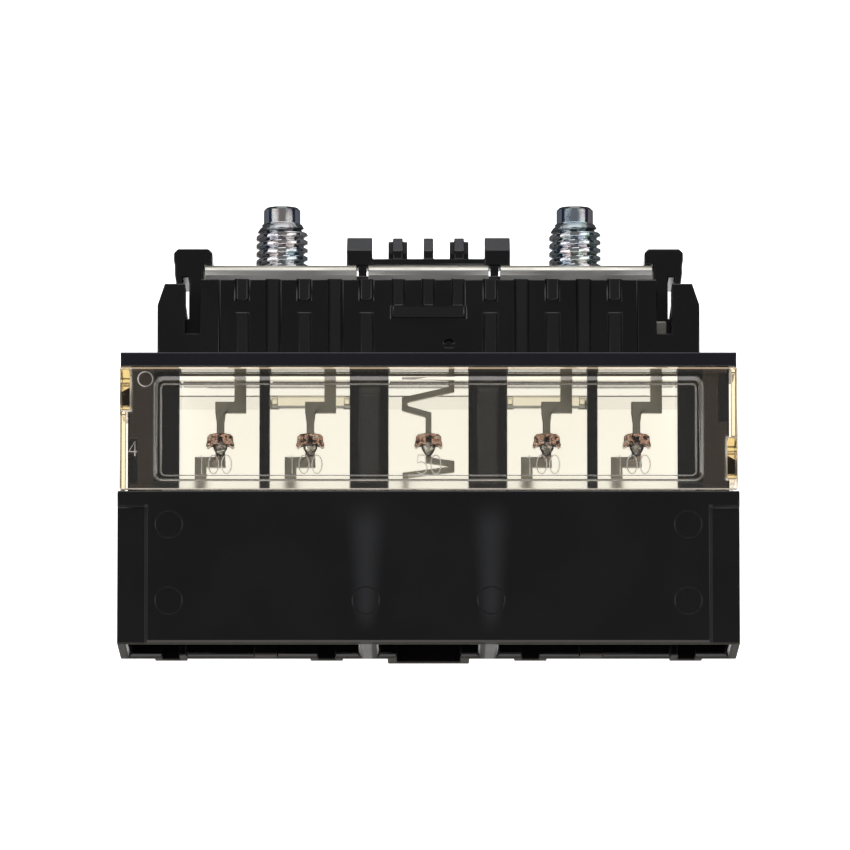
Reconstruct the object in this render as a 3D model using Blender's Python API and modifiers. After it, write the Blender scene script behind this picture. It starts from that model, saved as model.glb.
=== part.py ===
# Battery fuse block for a car: a moulded housing with plug-in hoods, three folded bus bars
# that carry five strip fuses, two threaded studs and two clear clip-on covers.
# The block lies on its back. X is its width, +Y points to the studs and +Z is its front.
# Heights run along Y from the connector rim, depths run along Z from the resting face.
# All sizes are in metres.

import math

import bmesh
import bpy
from mathutils import Matrix, Vector

# Fuse poles: two on each side of the middle one
WINDOW_WIDTH = 0.0121
WINDOW_WALL = 0.0016
WINDOW_BAND = 0.0191
WINDOW_MARGIN = 0.0004
WINDOW_TOP_MARGIN = 0.0006
BLADE_WIDTH = 0.0095
BLADE_END = 0.0050
BLADE_POINT = 0.0010
BLADE_STEP = 0.0003

# Housing body
BODY_DEPTH = 0.0200
REAR_OVERHANG = 0.0064
PANEL_HEIGHT = 0.0233
RAIL_HEIGHT = 0.0021
RAIL_INSET = 0.0004
FRAME_INSET = 0.0015
STRIP_STEP_WIDTH = 0.0045
STRIP_STEP_HEIGHT = 0.0209
STRIP_STEP_DEPTH = 0.0008
RIM_CHAMFER = 0.0006

# Connector hoods
HOOD_FLOOR = 0.0023
HOOD_SIDE_WALL = 0.0016
HOOD_FRONT_WALL = 0.0018
HOOD_REAR_WALL = 0.0015
HOOD_LEAD_IN = 0.0006
HOOD_SIDE_ROOM = 0.00905
MIDDLE_BLADE_ROOM = 0.00275
INNER_BLADE_ROOM = 0.00255
DIVIDER_THICKNESS = 0.0032
POLE_RIB_WIDTH = 0.0034
POLE_RIB_DEPTH = 0.0040
LATCH_WIDTH = 0.0125
LATCH_WALL = 0.0014
LATCH_HEIGHT = 0.0130
KEYWAY_WIDTH = 0.0026
KEYWAY_WALL = 0.0012
KEYWAY_DEPTH = 0.0026
KEYWAY_HEIGHT = 0.0120
KEYWAY_OUTSIDE_POLE = 0.0077
KEYWAY_INSIDE_POLE = 0.0024
KEY_FIN_WIDTH = 0.0011
KEY_FIN_DEPTH = 0.0030

# Pockets in the thick walls beside the middle window
POCKET_WIDTH = 0.0028
POCKET_DEPTH = 0.0050
POCKET_MARGIN = 0.0018
POCKET_TOP_MARGIN = 0.0008

# Clear covers
COVER_SEAT = 0.0020
COVER_THICKNESS = 0.0013
COVER_OVERLAP = 0.0012
RIDGE_HEIGHT = 0.0004
RIDGE_WIDTH = 0.00105
RIDGE_TOP_BAND = 0.00115
RIDGE_BOTTOM_BAND = 0.0008
RIDGE_INSET = 0.0052
RIDGE_MARGIN = 0.00127
RIDGE_CORNER = 0.0014
ARM_THICKNESS = 0.0015
ARM_WIDTH = 0.0062
ARM_RAISE = 0.0018
ARM_RECESS = 0.0006
SKIRT_THICKNESS = 0.0008
SKIRT_LENGTH = 0.0060
NUB_HEIGHT = 0.0032
NUB_DEPTH = 0.0028
NUB_REACH = 0.0014
NUB_SLOPE = 0.0012
NUB_FROM_ARM_END = 0.0036
REAR_COVER_INSET = 0.0006
LEG_WIDTH = 0.0009
LEG_HEIGHT = 0.0016
LEG_DROP = 0.0018
LEG_LENGTH = 0.0040

# Ribbed front wall and its ears
WALL_HEIGHT = 0.0116
WALL_INSET = 0.0059
WALL_SETBACK = 0.0030
RIB_WIDTH = 0.00235
RIB_PITCH = 0.00472
RIB_PROUD = 0.0006
RIB_DRAFT = 0.0004
RIB_BREAK_LOW = 0.0065
RIB_BREAK_HIGH = 0.0084
EAR_BORDER = 0.0029
EAR_PROUD = 0.0004
EAR_DROP = 0.00065
EAR_CHAMFER_WIDTH = 0.0011
EAR_CHAMFER_HEIGHT = 0.0033
EAR_SLOT_OFFSET = 0.0002
EAR_SLOT_WIDTH = 0.0023
EAR_SLOT_FLOOR = 0.00325
LATCH_FRAME_BAR = 0.0022
LATCH_FRAME_LOW = 0.0057
LATCH_FRAME_SILL = 0.0018
DIMPLE_X = 0.0031
DIMPLE_HEIGHT = 0.0017
DIMPLE_RADIUS = 0.0007
DIMPLE_DEPTH = 0.0004

# Claw comb over the middle plate
NECK_CENTRE = 0.0101
NECK_WIDTH = 0.0012
NECK_FLARE = 0.0006
NECK_GAP_WIDTH = 0.0018
NECK_GAP_FLOOR = 0.0040
COMB_BLOCK_INSIDE = 0.0015
COMB_BLOCK_OUTSIDE = 0.0024
COMB_SETBACK = 0.0011
COMB_DEPTH = 0.0060
COMB_FACE_HEIGHT = 0.00235
COMB_SLOPE_HEIGHT = 0.00265
COMB_SLOPE_DEPTH = 0.0048
COMB_BAR_HEIGHT = 0.0010
TOOTH_PITCH = 0.0047
TOOTH_WIDTH = 0.0015
TOOTH_POST_WIDTH = 0.0005
TOOTH_POST_OFFSET = 0.0012
TOOTH_POST_DEPTH = 0.0013
TOOTH_POST_HEIGHT = 0.0043

# Snap hooks at the outer ends of the plates
HOOK_DEPTH = 0.0146
HOOK_OVERLAP = 0.00115
HOOK_HEAD_LIP = 0.00015
HOOK_HEAD_HEIGHT = 0.0024
HOOK_HEAD_BEVEL = 0.0006
HOOK_STEM_WIDTH = 0.0043
HOOK_TAPER = 0.0010
HOOK_OUTER_LEG = 0.0011
HOOK_HOLE_WIDTH = 0.0011
HOOK_HOLE_HEIGHT = 0.0064
HOOK_HEEL_HEIGHT = 0.0068

# Bus bars: one folded sheet each
SHEET = 0.0012
BEND_RADIUS = 0.0004
BEND_STEPS = 6
PLATE_RISE = 0.0149
PLATE_REAR = 0.0010
PLATE_PAST_POLE = 0.0025
PLATE_CORNER = 0.0015
WING_LEVEL = 0.0061
WING_BORDER = 0.0007

# Wide fuse strips, with heights from the middle of the window
STRIP_WIDTH = 0.0018
STRIP_OFFSET = 0.0030
UPPER_LIMB_TOP = 0.00535
UPPER_LIMB_BOTTOM = 0.00365
LOWER_LIMB_TOP = -0.00315
LOWER_LIMB_BOTTOM = -0.00475
NECK_HALF = 0.0008
WAIST_HALF = 0.00058
WAIST_TOP = 0.0021
WAIST_BOTTOM = 0.0004

# The narrow zigzag strip of the middle fuse
LIGHT_WIDTH = 0.0009
LIGHT_OFFSET = 0.0035
LIGHT_PATH = (
    (1.0, 0.00725),
    (-1.03, 0.00565),
    (-1.03, 0.00435),
    (0.0, 0.00335),
    (0.0, -0.00365),
    (1.0, -0.00415),
    (1.0, -0.00505),
    (-1.0, -0.00595),
)

# Crimp claws and the tin pellet that each one holds
CLAW_BOTTOM = -0.00185
CLAW_HEIGHT = 0.0018
CLAW_HALF_WIDTH = 0.00205
CLAW_WALL = 0.00065
CLAW_DEPTH = 0.0024
CLAW_MOUTH_HALF = 0.00035
CLAW_OUTLINE = (
    (0.30, 1.12),
    (0.74, 1.06),
    (0.95, 0.84),
    (0.97, 0.45),
    (1.06, 0.10),
    (0.90, -0.06),
    (0.70, 0.12),
    (0.52, 0.16),
)
PELLET_THICKNESS = 0.0011
PELLET_DROP = 0.0014
PELLET_TIP_HALF = 0.00045

# Studs
STUD_X = 0.0225
STUD_HEIGHT = 0.0101
STUD_RADIUS = 0.0040
THREAD_PITCH = 0.00125
THREAD_DEPTH = 0.00072
THREAD_CREST = 0.00016
THREAD_ROOT = 0.00015
DOG_RADIUS = 0.00285
DOG_LENGTH = 0.0026
DOG_CHAMFER = 0.0004
HEAD_RADIUS = 0.0054
HEAD_THICKNESS = 0.0016
STUD_STEPS = 40

# Clearance between pieces, how far joined solids reach into each other, and the small step
# that keeps neighbouring faces off one plane
GAP = 0.0003
BITE = 0.0002
STEP = 0.00005

# Places across the width, worked out from the sizes above
MIDDLE_HOOD = BLADE_WIDTH / 2 + MIDDLE_BLADE_ROOM
OUTER_HOOD = MIDDLE_HOOD + DIVIDER_THICKNESS
INNER_POLE = OUTER_HOOD + INNER_BLADE_ROOM + BLADE_WIDTH / 2
OUTER_POLE = INNER_POLE + WINDOW_WIDTH + WINDOW_WALL
HOOD_SIDE = OUTER_POLE + BLADE_WIDTH / 2 + HOOD_SIDE_ROOM
BODY_HALF = HOOD_SIDE + HOOD_SIDE_WALL
FRAME_HALF = BODY_HALF - FRAME_INSET
COVER_HALF = FRAME_HALF + COVER_OVERLAP
WALL_HALF = BODY_HALF - WALL_INSET
PLATE_END = OUTER_POLE + PLATE_PAST_POLE
HOOK_STEM_INNER = PLATE_END + GAP
HOOK_STEM_OUTER = HOOK_STEM_INNER + HOOK_STEM_WIDTH
EAR_SLOT_INNER = HOOK_STEM_INNER + EAR_SLOT_OFFSET
EAR_SLOT_OUTER = EAR_SLOT_INNER + EAR_SLOT_WIDTH
EAR_START = EAR_SLOT_INNER - EAR_BORDER
LEFT_POLES = (-OUTER_POLE, -INNER_POLE)
RIGHT_POLES = (INNER_POLE, OUTER_POLE)
POLES = LEFT_POLES + (0.0,) + RIGHT_POLES
SIDES = (-1, 1)

# Levels up the height
HOOD_TOP = PANEL_HEIGHT - HOOD_FLOOR
WINDOW_TOP = PANEL_HEIGHT + WINDOW_BAND
WINDOW_MIDDLE = PANEL_HEIGHT + WINDOW_BAND / 2
RAIL_TOP = WINDOW_TOP + RAIL_HEIGHT
WALL_TOP = RAIL_TOP + WALL_HEIGHT
PLATE_TOP = RAIL_TOP + PLATE_RISE
STUD_TIP = PLATE_TOP + STUD_HEIGHT
PLATFORM_TOP = PLATE_TOP - SHEET - GAP
HOLD_DOWN = PLATE_TOP + GAP
HOOK_HEEL = RAIL_TOP + HOOK_HEEL_HEIGHT
CLAW_BASE = WINDOW_MIDDLE + CLAW_BOTTOM
CLAW_ROOF = CLAW_BASE + CLAW_HEIGHT - CLAW_WALL / 2

# Planes through the depth
FRONT = REAR_OVERHANG + BODY_DEPTH
MID_DEPTH = REAR_OVERHANG + BODY_DEPTH / 2
SHEET_FRONT = MID_DEPTH + SHEET / 2
SHEET_REAR = MID_DEPTH - SHEET / 2
SLOT_FRONT = SHEET_FRONT + GAP
SLOT_REAR = SHEET_REAR - GAP
WALL_FACE = FRONT - WALL_SETBACK
COVER_BACK = FRONT - COVER_SEAT + GAP
COVER_FACE = COVER_BACK + COVER_THICKNESS
ARM_END = REAR_OVERHANG + COVER_SEAT + GAP
COMB_FRONT = SHEET_REAR - COMB_SETBACK
COMB_REAR = COMB_FRONT - COMB_DEPTH
STUD_Z = (PLATE_REAR + SHEET_REAR) / 2


def clear_scene():
    for item in list(bpy.data.objects):
        bpy.data.objects.remove(item, do_unlink=True)


def new_collection(name):
    collection = bpy.data.collections.new(name)
    bpy.context.scene.collection.children.link(collection)
    return collection


def material(name, colour, roughness, metallic=0.0, alpha=1.0):
    result = bpy.data.materials.new(name)
    result.use_nodes = True
    shader = result.node_tree.nodes["Principled BSDF"]
    shader.inputs["Base Color"].default_value = (*colour, 1.0)
    shader.inputs["Roughness"].default_value = roughness
    shader.inputs["Metallic"].default_value = metallic
    shader.inputs["Alpha"].default_value = alpha
    result.diffuse_color = (*colour, alpha)
    return result


def mirrored(low, high, side):
    """Turn a span measured outwards from the middle into one on the given side."""
    return (low, high) if side > 0 else (-high, -low)


def object_from(bm, name, collection):
    bmesh.ops.recalc_face_normals(bm, faces=bm.faces)
    mesh = bpy.data.meshes.new(name)
    bm.to_mesh(mesh)
    bm.free()
    result = bpy.data.objects.new(name, mesh)
    collection.objects.link(result)
    return result


def add_box(bm, x, y, z):
    """Add a box that spans the given ranges."""
    made = bmesh.ops.create_cube(bm, size=1.0)
    size = Vector((x[1] - x[0], y[1] - y[0], z[1] - z[0]))
    centre = Vector((x[0] + x[1], y[0] + y[1], z[0] + z[1])) / 2
    bmesh.ops.transform(bm, matrix=Matrix.LocRotScale(centre, None, size), verts=made["verts"])
    return made["verts"]


def boxes(name, spans, collection):
    """One object that holds a separate box for each (x, y, z) span."""
    bm = bmesh.new()
    for x, y, z in spans:
        add_box(bm, x, y, z)
    return object_from(bm, name, collection)


def add_tube(bm, centre, radius, y, segments=36):
    """Add a solid cylinder along Y, centred on an (x, z) point."""
    place = Matrix.Translation((centre[0], (y[0] + y[1]) / 2, centre[1]))
    upright = Matrix.Rotation(math.pi / 2, 4, "X")
    bmesh.ops.create_cone(bm, cap_ends=True, segments=segments, radius1=radius, radius2=radius,
                          depth=y[1] - y[0], matrix=place @ upright)


PLANES = {
    "XY": Matrix.Identity(4),
    "YZ": Matrix(((0, 0, 1, 0), (1, 0, 0, 0), (0, 1, 0, 0), (0, 0, 0, 1))),
    "ZX": Matrix(((0, 1, 0, 0), (0, 0, 1, 0), (1, 0, 0, 0), (0, 0, 0, 1))),
}


def drafted_boxes(name, spans, draft, collection):
    """Boxes whose front faces are narrower than their feet, by the draft on each side."""
    bm = bmesh.new()
    for x, y, z in spans:
        for vert in add_box(bm, x, y, z):
            if vert.co.z > (z[0] + z[1]) / 2:
                vert.co.x -= math.copysign(draft, vert.co.x - (x[0] + x[1]) / 2)
    return object_from(bm, name, collection)


def extruded(name, outline, low, high, collection, plane="XY"):
    """Extrude a closed outline across a plane's normal, from low to high."""
    curve = bpy.data.curves.new(name, "CURVE")
    curve.dimensions = "2D"
    curve.fill_mode = "NONE"
    curve.extrude = (high - low) / 2
    spline = curve.splines.new("POLY")
    spline.points.add(len(outline) - 1)
    for point, (u, v) in zip(spline.points, outline):
        point.co = (u, v, 0.0, 1.0)
    spline.use_cyclic_u = True
    guide = bpy.data.objects.new(name, curve)
    bpy.context.scene.collection.objects.link(guide)
    depsgraph = bpy.context.evaluated_depsgraph_get()
    mesh = bpy.data.meshes.new_from_object(guide.evaluated_get(depsgraph))
    bm = bmesh.new()
    bm.from_mesh(mesh)
    bmesh.ops.remove_doubles(bm, verts=bm.verts, dist=1e-6)
    rims = [edge for edge in bm.edges if edge.is_boundary]
    bmesh.ops.edgeloop_fill(bm, edges=rims)
    placing = PLANES[plane] @ Matrix.Translation((0.0, 0.0, (low + high) / 2))
    bmesh.ops.transform(bm, matrix=placing, verts=bm.verts)
    bpy.data.objects.remove(guide)
    bpy.data.curves.remove(curve)
    bpy.data.meshes.remove(mesh)
    return object_from(bm, name, collection)


def rounded_rectangle(x, y, radius, steps=5):
    corners = (
        (x[1] - radius, y[1] - radius, 0.0),
        (x[0] + radius, y[1] - radius, math.pi / 2),
        (x[0] + radius, y[0] + radius, math.pi),
        (x[1] - radius, y[0] + radius, 3 * math.pi / 2),
    )
    points = []
    for centre_x, centre_y, start in corners:
        for step in range(steps + 1):
            angle = start + step / steps * math.pi / 2
            points.append((centre_x + radius * math.cos(angle), centre_y + radius * math.sin(angle)))
    return points


def flipped(outline, side):
    """Mirror an outline that is drawn for the +X side."""
    return [(x * side, y) for x, y in outline]


def boolean(target, tool, operation):
    tool.hide_render = True
    tool.display_type = "WIRE"
    modifier = target.modifiers.new(tool.name, "BOOLEAN")
    modifier.operation = operation
    modifier.object = tool
    modifier.solver = "EXACT"


def join(target, *tools):
    for tool in tools:
        boolean(target, tool, "UNION")


def cut(target, *tools):
    for tool in tools:
        boolean(target, tool, "DIFFERENCE")


def hood_spans():
    """The inside widths of the left, middle and right hoods."""
    return ((-HOOD_SIDE, -OUTER_HOOD), (-MIDDLE_HOOD, MIDDLE_HOOD), (OUTER_HOOD, HOOD_SIDE))


def hood_cutters(tools):
    """The hood cavities, each with a lead-in all round its mouth."""
    depth = (REAR_OVERHANG + HOOD_REAR_WALL, FRONT - HOOD_FRONT_WALL)
    bm = bmesh.new()
    for x in hood_spans():
        cavity = add_box(bm, x, (HOOD_LEAD_IN, HOOD_TOP), depth)
        mouth = [vert for vert in cavity if vert.co.y < HOOD_TOP / 2]
        face = next(face for face in mouth[0].link_faces if all(vert in mouth for vert in face.verts))
        flare = bmesh.ops.extrude_face_region(bm, geom=[face])["geom"]
        bmesh.ops.delete(bm, geom=[face], context="FACES_ONLY")
        for vert in flare:
            if isinstance(vert, bmesh.types.BMVert):
                vert.co.y -= 2 * HOOD_LEAD_IN
                vert.co.x += math.copysign(2 * HOOD_LEAD_IN, vert.co.x - (x[0] + x[1]) / 2)
                vert.co.z += math.copysign(2 * HOOD_LEAD_IN, vert.co.z - (depth[0] + depth[1]) / 2)
    return object_from(bm, "hood_cavities", tools)


def keyway_centres():
    """Each outer hood has two keyways, one outside each pole."""
    outward = OUTER_POLE + KEYWAY_OUTSIDE_POLE
    inward = INNER_POLE - KEYWAY_INSIDE_POLE
    return [side * centre for side in SIDES for centre in (outward, inward)]


def rear_latch_parts(tools):
    """Bulges behind the hoods: the middle latch channel and the four keyways."""
    rear = REAR_OVERHANG + BITE
    bulges = [((-LATCH_WIDTH / 2, LATCH_WIDTH / 2), (0.0, LATCH_HEIGHT), (0.0, rear))]
    half = KEYWAY_WIDTH / 2 + KEYWAY_WALL
    for x in keyway_centres():
        depth = (REAR_OVERHANG - KEYWAY_DEPTH, rear)
        bulges.append(((x - half, x + half), (0.0, KEYWAY_HEIGHT), depth))
    inside = REAR_OVERHANG + HOOD_REAR_WALL + BITE
    latch_half = LATCH_WIDTH / 2 - LATCH_WALL
    channels = [((-latch_half, latch_half), (-HOOD_TOP / 2, LATCH_HEIGHT - LATCH_WALL), (LATCH_WALL, inside))]
    for x in keyway_centres():
        depth = (REAR_OVERHANG - KEYWAY_DEPTH + KEYWAY_WALL, inside)
        span = (x - KEYWAY_WIDTH / 2, x + KEYWAY_WIDTH / 2)
        channels.append((span, (-HOOD_TOP / 2, KEYWAY_HEIGHT - KEYWAY_WALL), depth))
    return boxes("rear_bulges", bulges, tools), boxes("rear_channels", channels, tools)


def hood_ribs(tools):
    """Ribs on the rear wall inside the outer hoods: one between the poles, one beside the outer keyway."""
    rear = REAR_OVERHANG + HOOD_REAR_WALL
    height = (0.0, HOOD_TOP + BITE)
    pole_rib = (INNER_POLE + OUTER_POLE) / 2
    fin_edge = OUTER_POLE + KEYWAY_OUTSIDE_POLE - KEYWAY_WIDTH / 2 - STEP
    ribs = []
    for side in SIDES:
        middle = mirrored(pole_rib - POLE_RIB_WIDTH / 2, pole_rib + POLE_RIB_WIDTH / 2, side)
        ribs.append((middle, height, (rear - BITE, rear + POLE_RIB_DEPTH)))
        fin = mirrored(fin_edge - KEY_FIN_WIDTH, fin_edge, side)
        ribs.append((fin, height, (rear - BITE, rear + KEY_FIN_DEPTH)))
    return boxes("hood_ribs", ribs, tools)


def rim_chamfer(tools):
    """A chamfer along the lower edge of the front panel."""
    outline = [(-BITE, FRONT - RIM_CHAMFER - BITE), (RIM_CHAMFER + BITE, FRONT + BITE), (-BITE, FRONT + BITE)]
    return extruded("rim_chamfer", outline, -BODY_HALF - BITE, BODY_HALF + BITE, tools, plane="YZ")


def front_strips(tools):
    """Shallow steps down both sides of the front panel."""
    x = (BODY_HALF - STRIP_STEP_WIDTH, BODY_HALF + BITE)
    height = (-BITE, STRIP_STEP_HEIGHT)
    depth = (FRONT - STRIP_STEP_DEPTH, FRONT + BITE)
    return boxes("side_strips", [(mirrored(*x, side), height, depth) for side in SIDES], tools)


def window_cutters(tools):
    """The five fuse windows, and the pockets in the two thick walls beside the middle window."""
    height = (PANEL_HEIGHT + WINDOW_MARGIN, WINDOW_TOP - WINDOW_TOP_MARGIN)
    half = WINDOW_WIDTH / 2
    through = (REAR_OVERHANG, FRONT)
    windows = boxes("windows", [((x - half, x + half), height, through) for x in POLES], tools)
    pocket_height = (height[0] + POCKET_MARGIN, height[1] - POCKET_TOP_MARGIN)
    centre = INNER_POLE / 2
    pocket = (centre - POCKET_WIDTH / 2, centre + POCKET_WIDTH / 2)
    depth = (FRONT - COVER_SEAT - POCKET_DEPTH, FRONT)
    pockets = [(mirrored(*pocket, side), pocket_height, depth) for side in SIDES]
    return windows, boxes("wall_pockets", pockets, tools)


def strip_spans(pole):
    """Where a fuse strip enters the rail above and the hood floor below, across X."""
    offset = LIGHT_OFFSET if pole == 0.0 else STRIP_OFFSET
    half = (LIGHT_WIDTH if pole == 0.0 else STRIP_WIDTH) / 2
    return (pole + offset - half, pole + offset + half), (pole - offset - half, pole - offset + half)


def strip_slots(tools):
    depth = (SLOT_REAR, SLOT_FRONT)
    slots = []
    for pole in POLES:
        upper, lower = strip_spans(pole)
        above = (WINDOW_TOP - WINDOW_TOP_MARGIN - BITE, RAIL_TOP + BITE)
        below = (HOOD_TOP - BITE, PANEL_HEIGHT + WINDOW_MARGIN + BITE)
        slots.append(((upper[0] - GAP, upper[1] + GAP), above, depth))
        slots.append(((lower[0] - GAP, lower[1] + GAP), below, depth))
    return boxes("strip_slots", slots, tools)


def nub_levels():
    """Lower and upper snap nubs, centred on the cover arms that they hold."""
    lower = PANEL_HEIGHT + GAP + ARM_RAISE + ARM_WIDTH / 2
    upper = WINDOW_TOP - GAP - ARM_WIDTH / 2
    return lower, upper


def window_frame(tools):
    """The frame round the fuses, with a recess in each side for an arm of the front cover."""
    depth = (REAR_OVERHANG + COVER_SEAT, FRONT - COVER_SEAT)
    height = (PANEL_HEIGHT - BITE, WINDOW_TOP + BITE)
    frame = boxes("window_frame", [((-FRAME_HALF, FRAME_HALF), height, depth)], tools)
    lower, upper = nub_levels()
    reach = ARM_WIDTH / 2 + GAP
    recess = (FRAME_HALF - ARM_RECESS, FRAME_HALF + BITE)
    through = (depth[0] - BITE, depth[1] + BITE)
    cuts = [(mirrored(*recess, -1), (upper - reach, height[1] + BITE), through),
            (mirrored(*recess, 1), (lower - reach, lower + reach), through)]
    cut(frame, boxes("arm_recesses", cuts, tools))
    return frame


def snap_nubs(tools):
    """A sloped nub in each side recess of the window frame."""
    lower, upper = nub_levels()
    root = FRAME_HALF - ARM_RECESS - BITE
    reach = FRAME_HALF + NUB_REACH
    low_depth = ARM_END + NUB_FROM_ARM_END
    depth = (low_depth, low_depth + NUB_DEPTH)
    nubs = []
    for name, side, level in (("nub_left", -1, upper), ("nub_right", 1, lower)):
        low = level - NUB_HEIGHT / 2
        high = level + NUB_HEIGHT / 2
        outline = [(root, low), (reach, low), (reach, high - NUB_SLOPE), (root, high)]
        nubs.append(extruded(name, flipped(outline, side), *depth, tools))
    return nubs


def ear_outline():
    """Right end of the front wall, from its outer foot over the slotted ear to the wall's top."""
    ear_top = WALL_TOP - EAR_DROP
    slot_floor = RAIL_TOP + EAR_SLOT_FLOOR
    return [
        (WALL_HALF, RAIL_TOP - BITE),
        (WALL_HALF, ear_top - EAR_CHAMFER_HEIGHT),
        (WALL_HALF - EAR_CHAMFER_WIDTH, ear_top),
        (EAR_SLOT_OUTER, ear_top),
        (EAR_SLOT_OUTER, slot_floor),
        (EAR_SLOT_INNER, slot_floor),
        (EAR_SLOT_INNER, WALL_TOP),
    ]


def front_wall(tools):
    """The ribbed wall in front of the bus bars, with a slotted ear at each end."""
    right = ear_outline()
    left = [(-x, y) for x, y in reversed(right)]
    wall = extruded("front_wall", right + left, SLOT_FRONT + STEP, WALL_FACE, tools)
    ear = right + [(EAR_START, WALL_TOP), (EAR_START, RAIL_TOP - BITE)]
    depth = (WALL_FACE - BITE, WALL_FACE + EAR_PROUD)
    faces = [extruded(name, flipped(ear, side), *depth, tools)
             for side, name in zip(SIDES, ("ear_face_left", "ear_face_right"))]
    return [wall] + faces


def wall_ribs(tools):
    """Upright ribs, every second one broken by a window, and the latch frame in the middle."""
    depth = (WALL_FACE - BITE, WALL_FACE + RIB_PROUD)
    bottom = RAIL_TOP - BITE
    top = WALL_TOP + STEP
    spans = []
    count = int((EAR_START - RIB_WIDTH) / RIB_PITCH)
    for index in range(2, count + 1):
        for side in SIDES:
            centre = side * index * RIB_PITCH
            x = (centre - RIB_WIDTH / 2, centre + RIB_WIDTH / 2)
            if index % 2:
                spans.append((x, (bottom, top), depth))
            else:
                spans.append((x, (bottom, RAIL_TOP + RIB_BREAK_LOW), depth))
                spans.append((x, (RAIL_TOP + RIB_BREAK_HIGH, top), depth))
    return drafted_boxes("wall_ribs", spans, RIB_DRAFT, tools)


def latch_frame(tools):
    """Three short bars and a sill under them, in the middle of the ribbed wall."""
    sill = RAIL_TOP + LATCH_FRAME_LOW
    reach = RIB_PITCH + LATCH_FRAME_BAR / 2
    sill_depth = (WALL_FACE - BITE, WALL_FACE + RIB_PROUD)
    bar_depth = (WALL_FACE - BITE, WALL_FACE + RIB_PROUD - STEP)
    bars = []
    for index in (-1, 0, 1):
        centre = index * (RIB_PITCH - BITE)
        x = (centre - LATCH_FRAME_BAR / 2, centre + LATCH_FRAME_BAR / 2)
        bars.append((x, (sill + LATCH_FRAME_SILL - BITE, WALL_TOP + STEP), bar_depth))
    sill_span = ((-reach, reach), (sill, sill + LATCH_FRAME_SILL), sill_depth)
    return (drafted_boxes("latch_sill", [sill_span], RIB_DRAFT, tools),
            drafted_boxes("latch_bars", bars, RIB_DRAFT, tools))


def platform_parts(tools):
    """The platform under the plates, the webs between the bus bars and the necks of the comb."""
    span = ((-PLATE_END, PLATE_END), (WINDOW_TOP + BITE, PLATFORM_TOP), (0.0, SLOT_REAR - STEP))
    foot = NECK_WIDTH / 2
    web_height = (RAIL_TOP - BITE, WALL_TOP - BITE)
    web_depth = (SLOT_REAR - BITE, SLOT_FRONT + BITE)
    webs = [(mirrored(NECK_CENTRE - foot, NECK_CENTRE + foot, side), web_height, web_depth) for side in SIDES]
    top = foot + NECK_FLARE / 2
    outline = [
        (NECK_CENTRE - foot, RAIL_TOP),
        (NECK_CENTRE + foot, RAIL_TOP),
        (NECK_CENTRE + foot, PLATE_TOP),
        (NECK_CENTRE + top, HOLD_DOWN + BITE),
        (NECK_CENTRE - top, HOLD_DOWN + BITE),
        (NECK_CENTRE - foot, PLATE_TOP),
    ]
    depth = (COMB_REAR + BITE, COMB_FRONT - BITE)
    necks = [extruded(name, flipped(outline, side), *depth, tools)
             for side, name in zip(SIDES, ("neck_left", "neck_right"))]
    return [boxes("platform", [span], tools), boxes("webs", webs, tools)] + necks


def comb_profile(inset=0.0):
    """Side view of a comb tooth in (y, z): upright face, slope to the back, flat top."""
    bottom = HOLD_DOWN + inset
    shoulder = HOLD_DOWN + COMB_FACE_HEIGHT
    front = COMB_FRONT - 2 * inset
    rear = COMB_REAR + 2 * inset
    return [
        (bottom, rear),
        (bottom, front),
        (shoulder, front),
        (shoulder + COMB_SLOPE_HEIGHT, front - COMB_SLOPE_DEPTH),
        (shoulder + COMB_SLOPE_HEIGHT, rear),
    ]


def comb_parts(tools):
    """Two hooked blocks, a bar over the middle plate and three stiffening teeth on it."""
    block = (NECK_CENTRE - COMB_BLOCK_INSIDE, NECK_CENTRE + COMB_BLOCK_OUTSIDE)
    parts = [extruded(name, comb_profile(), *mirrored(*block, side), tools, plane="YZ")
             for side, name in zip(SIDES, ("comb_block_left", "comb_block_right"))]
    reach = block[0] + BITE
    bar_height = (HOLD_DOWN + 2 * STEP, HOLD_DOWN + COMB_BAR_HEIGHT)
    bar = ((-reach, reach), bar_height, (COMB_REAR + BITE, COMB_FRONT - BITE))
    parts.append(boxes("comb_bar", [bar], tools))
    for index, name in ((-1, "tooth_left"), (0, "tooth_middle"), (1, "tooth_right")):
        centre = index * TOOTH_PITCH
        x = (centre - TOOTH_WIDTH / 2, centre + TOOTH_WIDTH / 2)
        parts.append(extruded(name, comb_profile(BITE), *x, tools, plane="YZ"))
    middle = COMB_FRONT - COMB_SLOPE_DEPTH
    depth = (middle - TOOTH_POST_DEPTH / 2, middle + TOOTH_POST_DEPTH / 2)
    height = (bar_height[1] - BITE, HOLD_DOWN + TOOTH_POST_HEIGHT)
    reach = TOOTH_POST_OFFSET + TOOTH_POST_WIDTH / 2
    posts = []
    for index in SIDES:
        centre = index * TOOTH_PITCH
        posts.append(((centre - reach, centre + reach), height, depth))
    return parts + [boxes("tooth_posts", posts, tools)]


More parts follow.
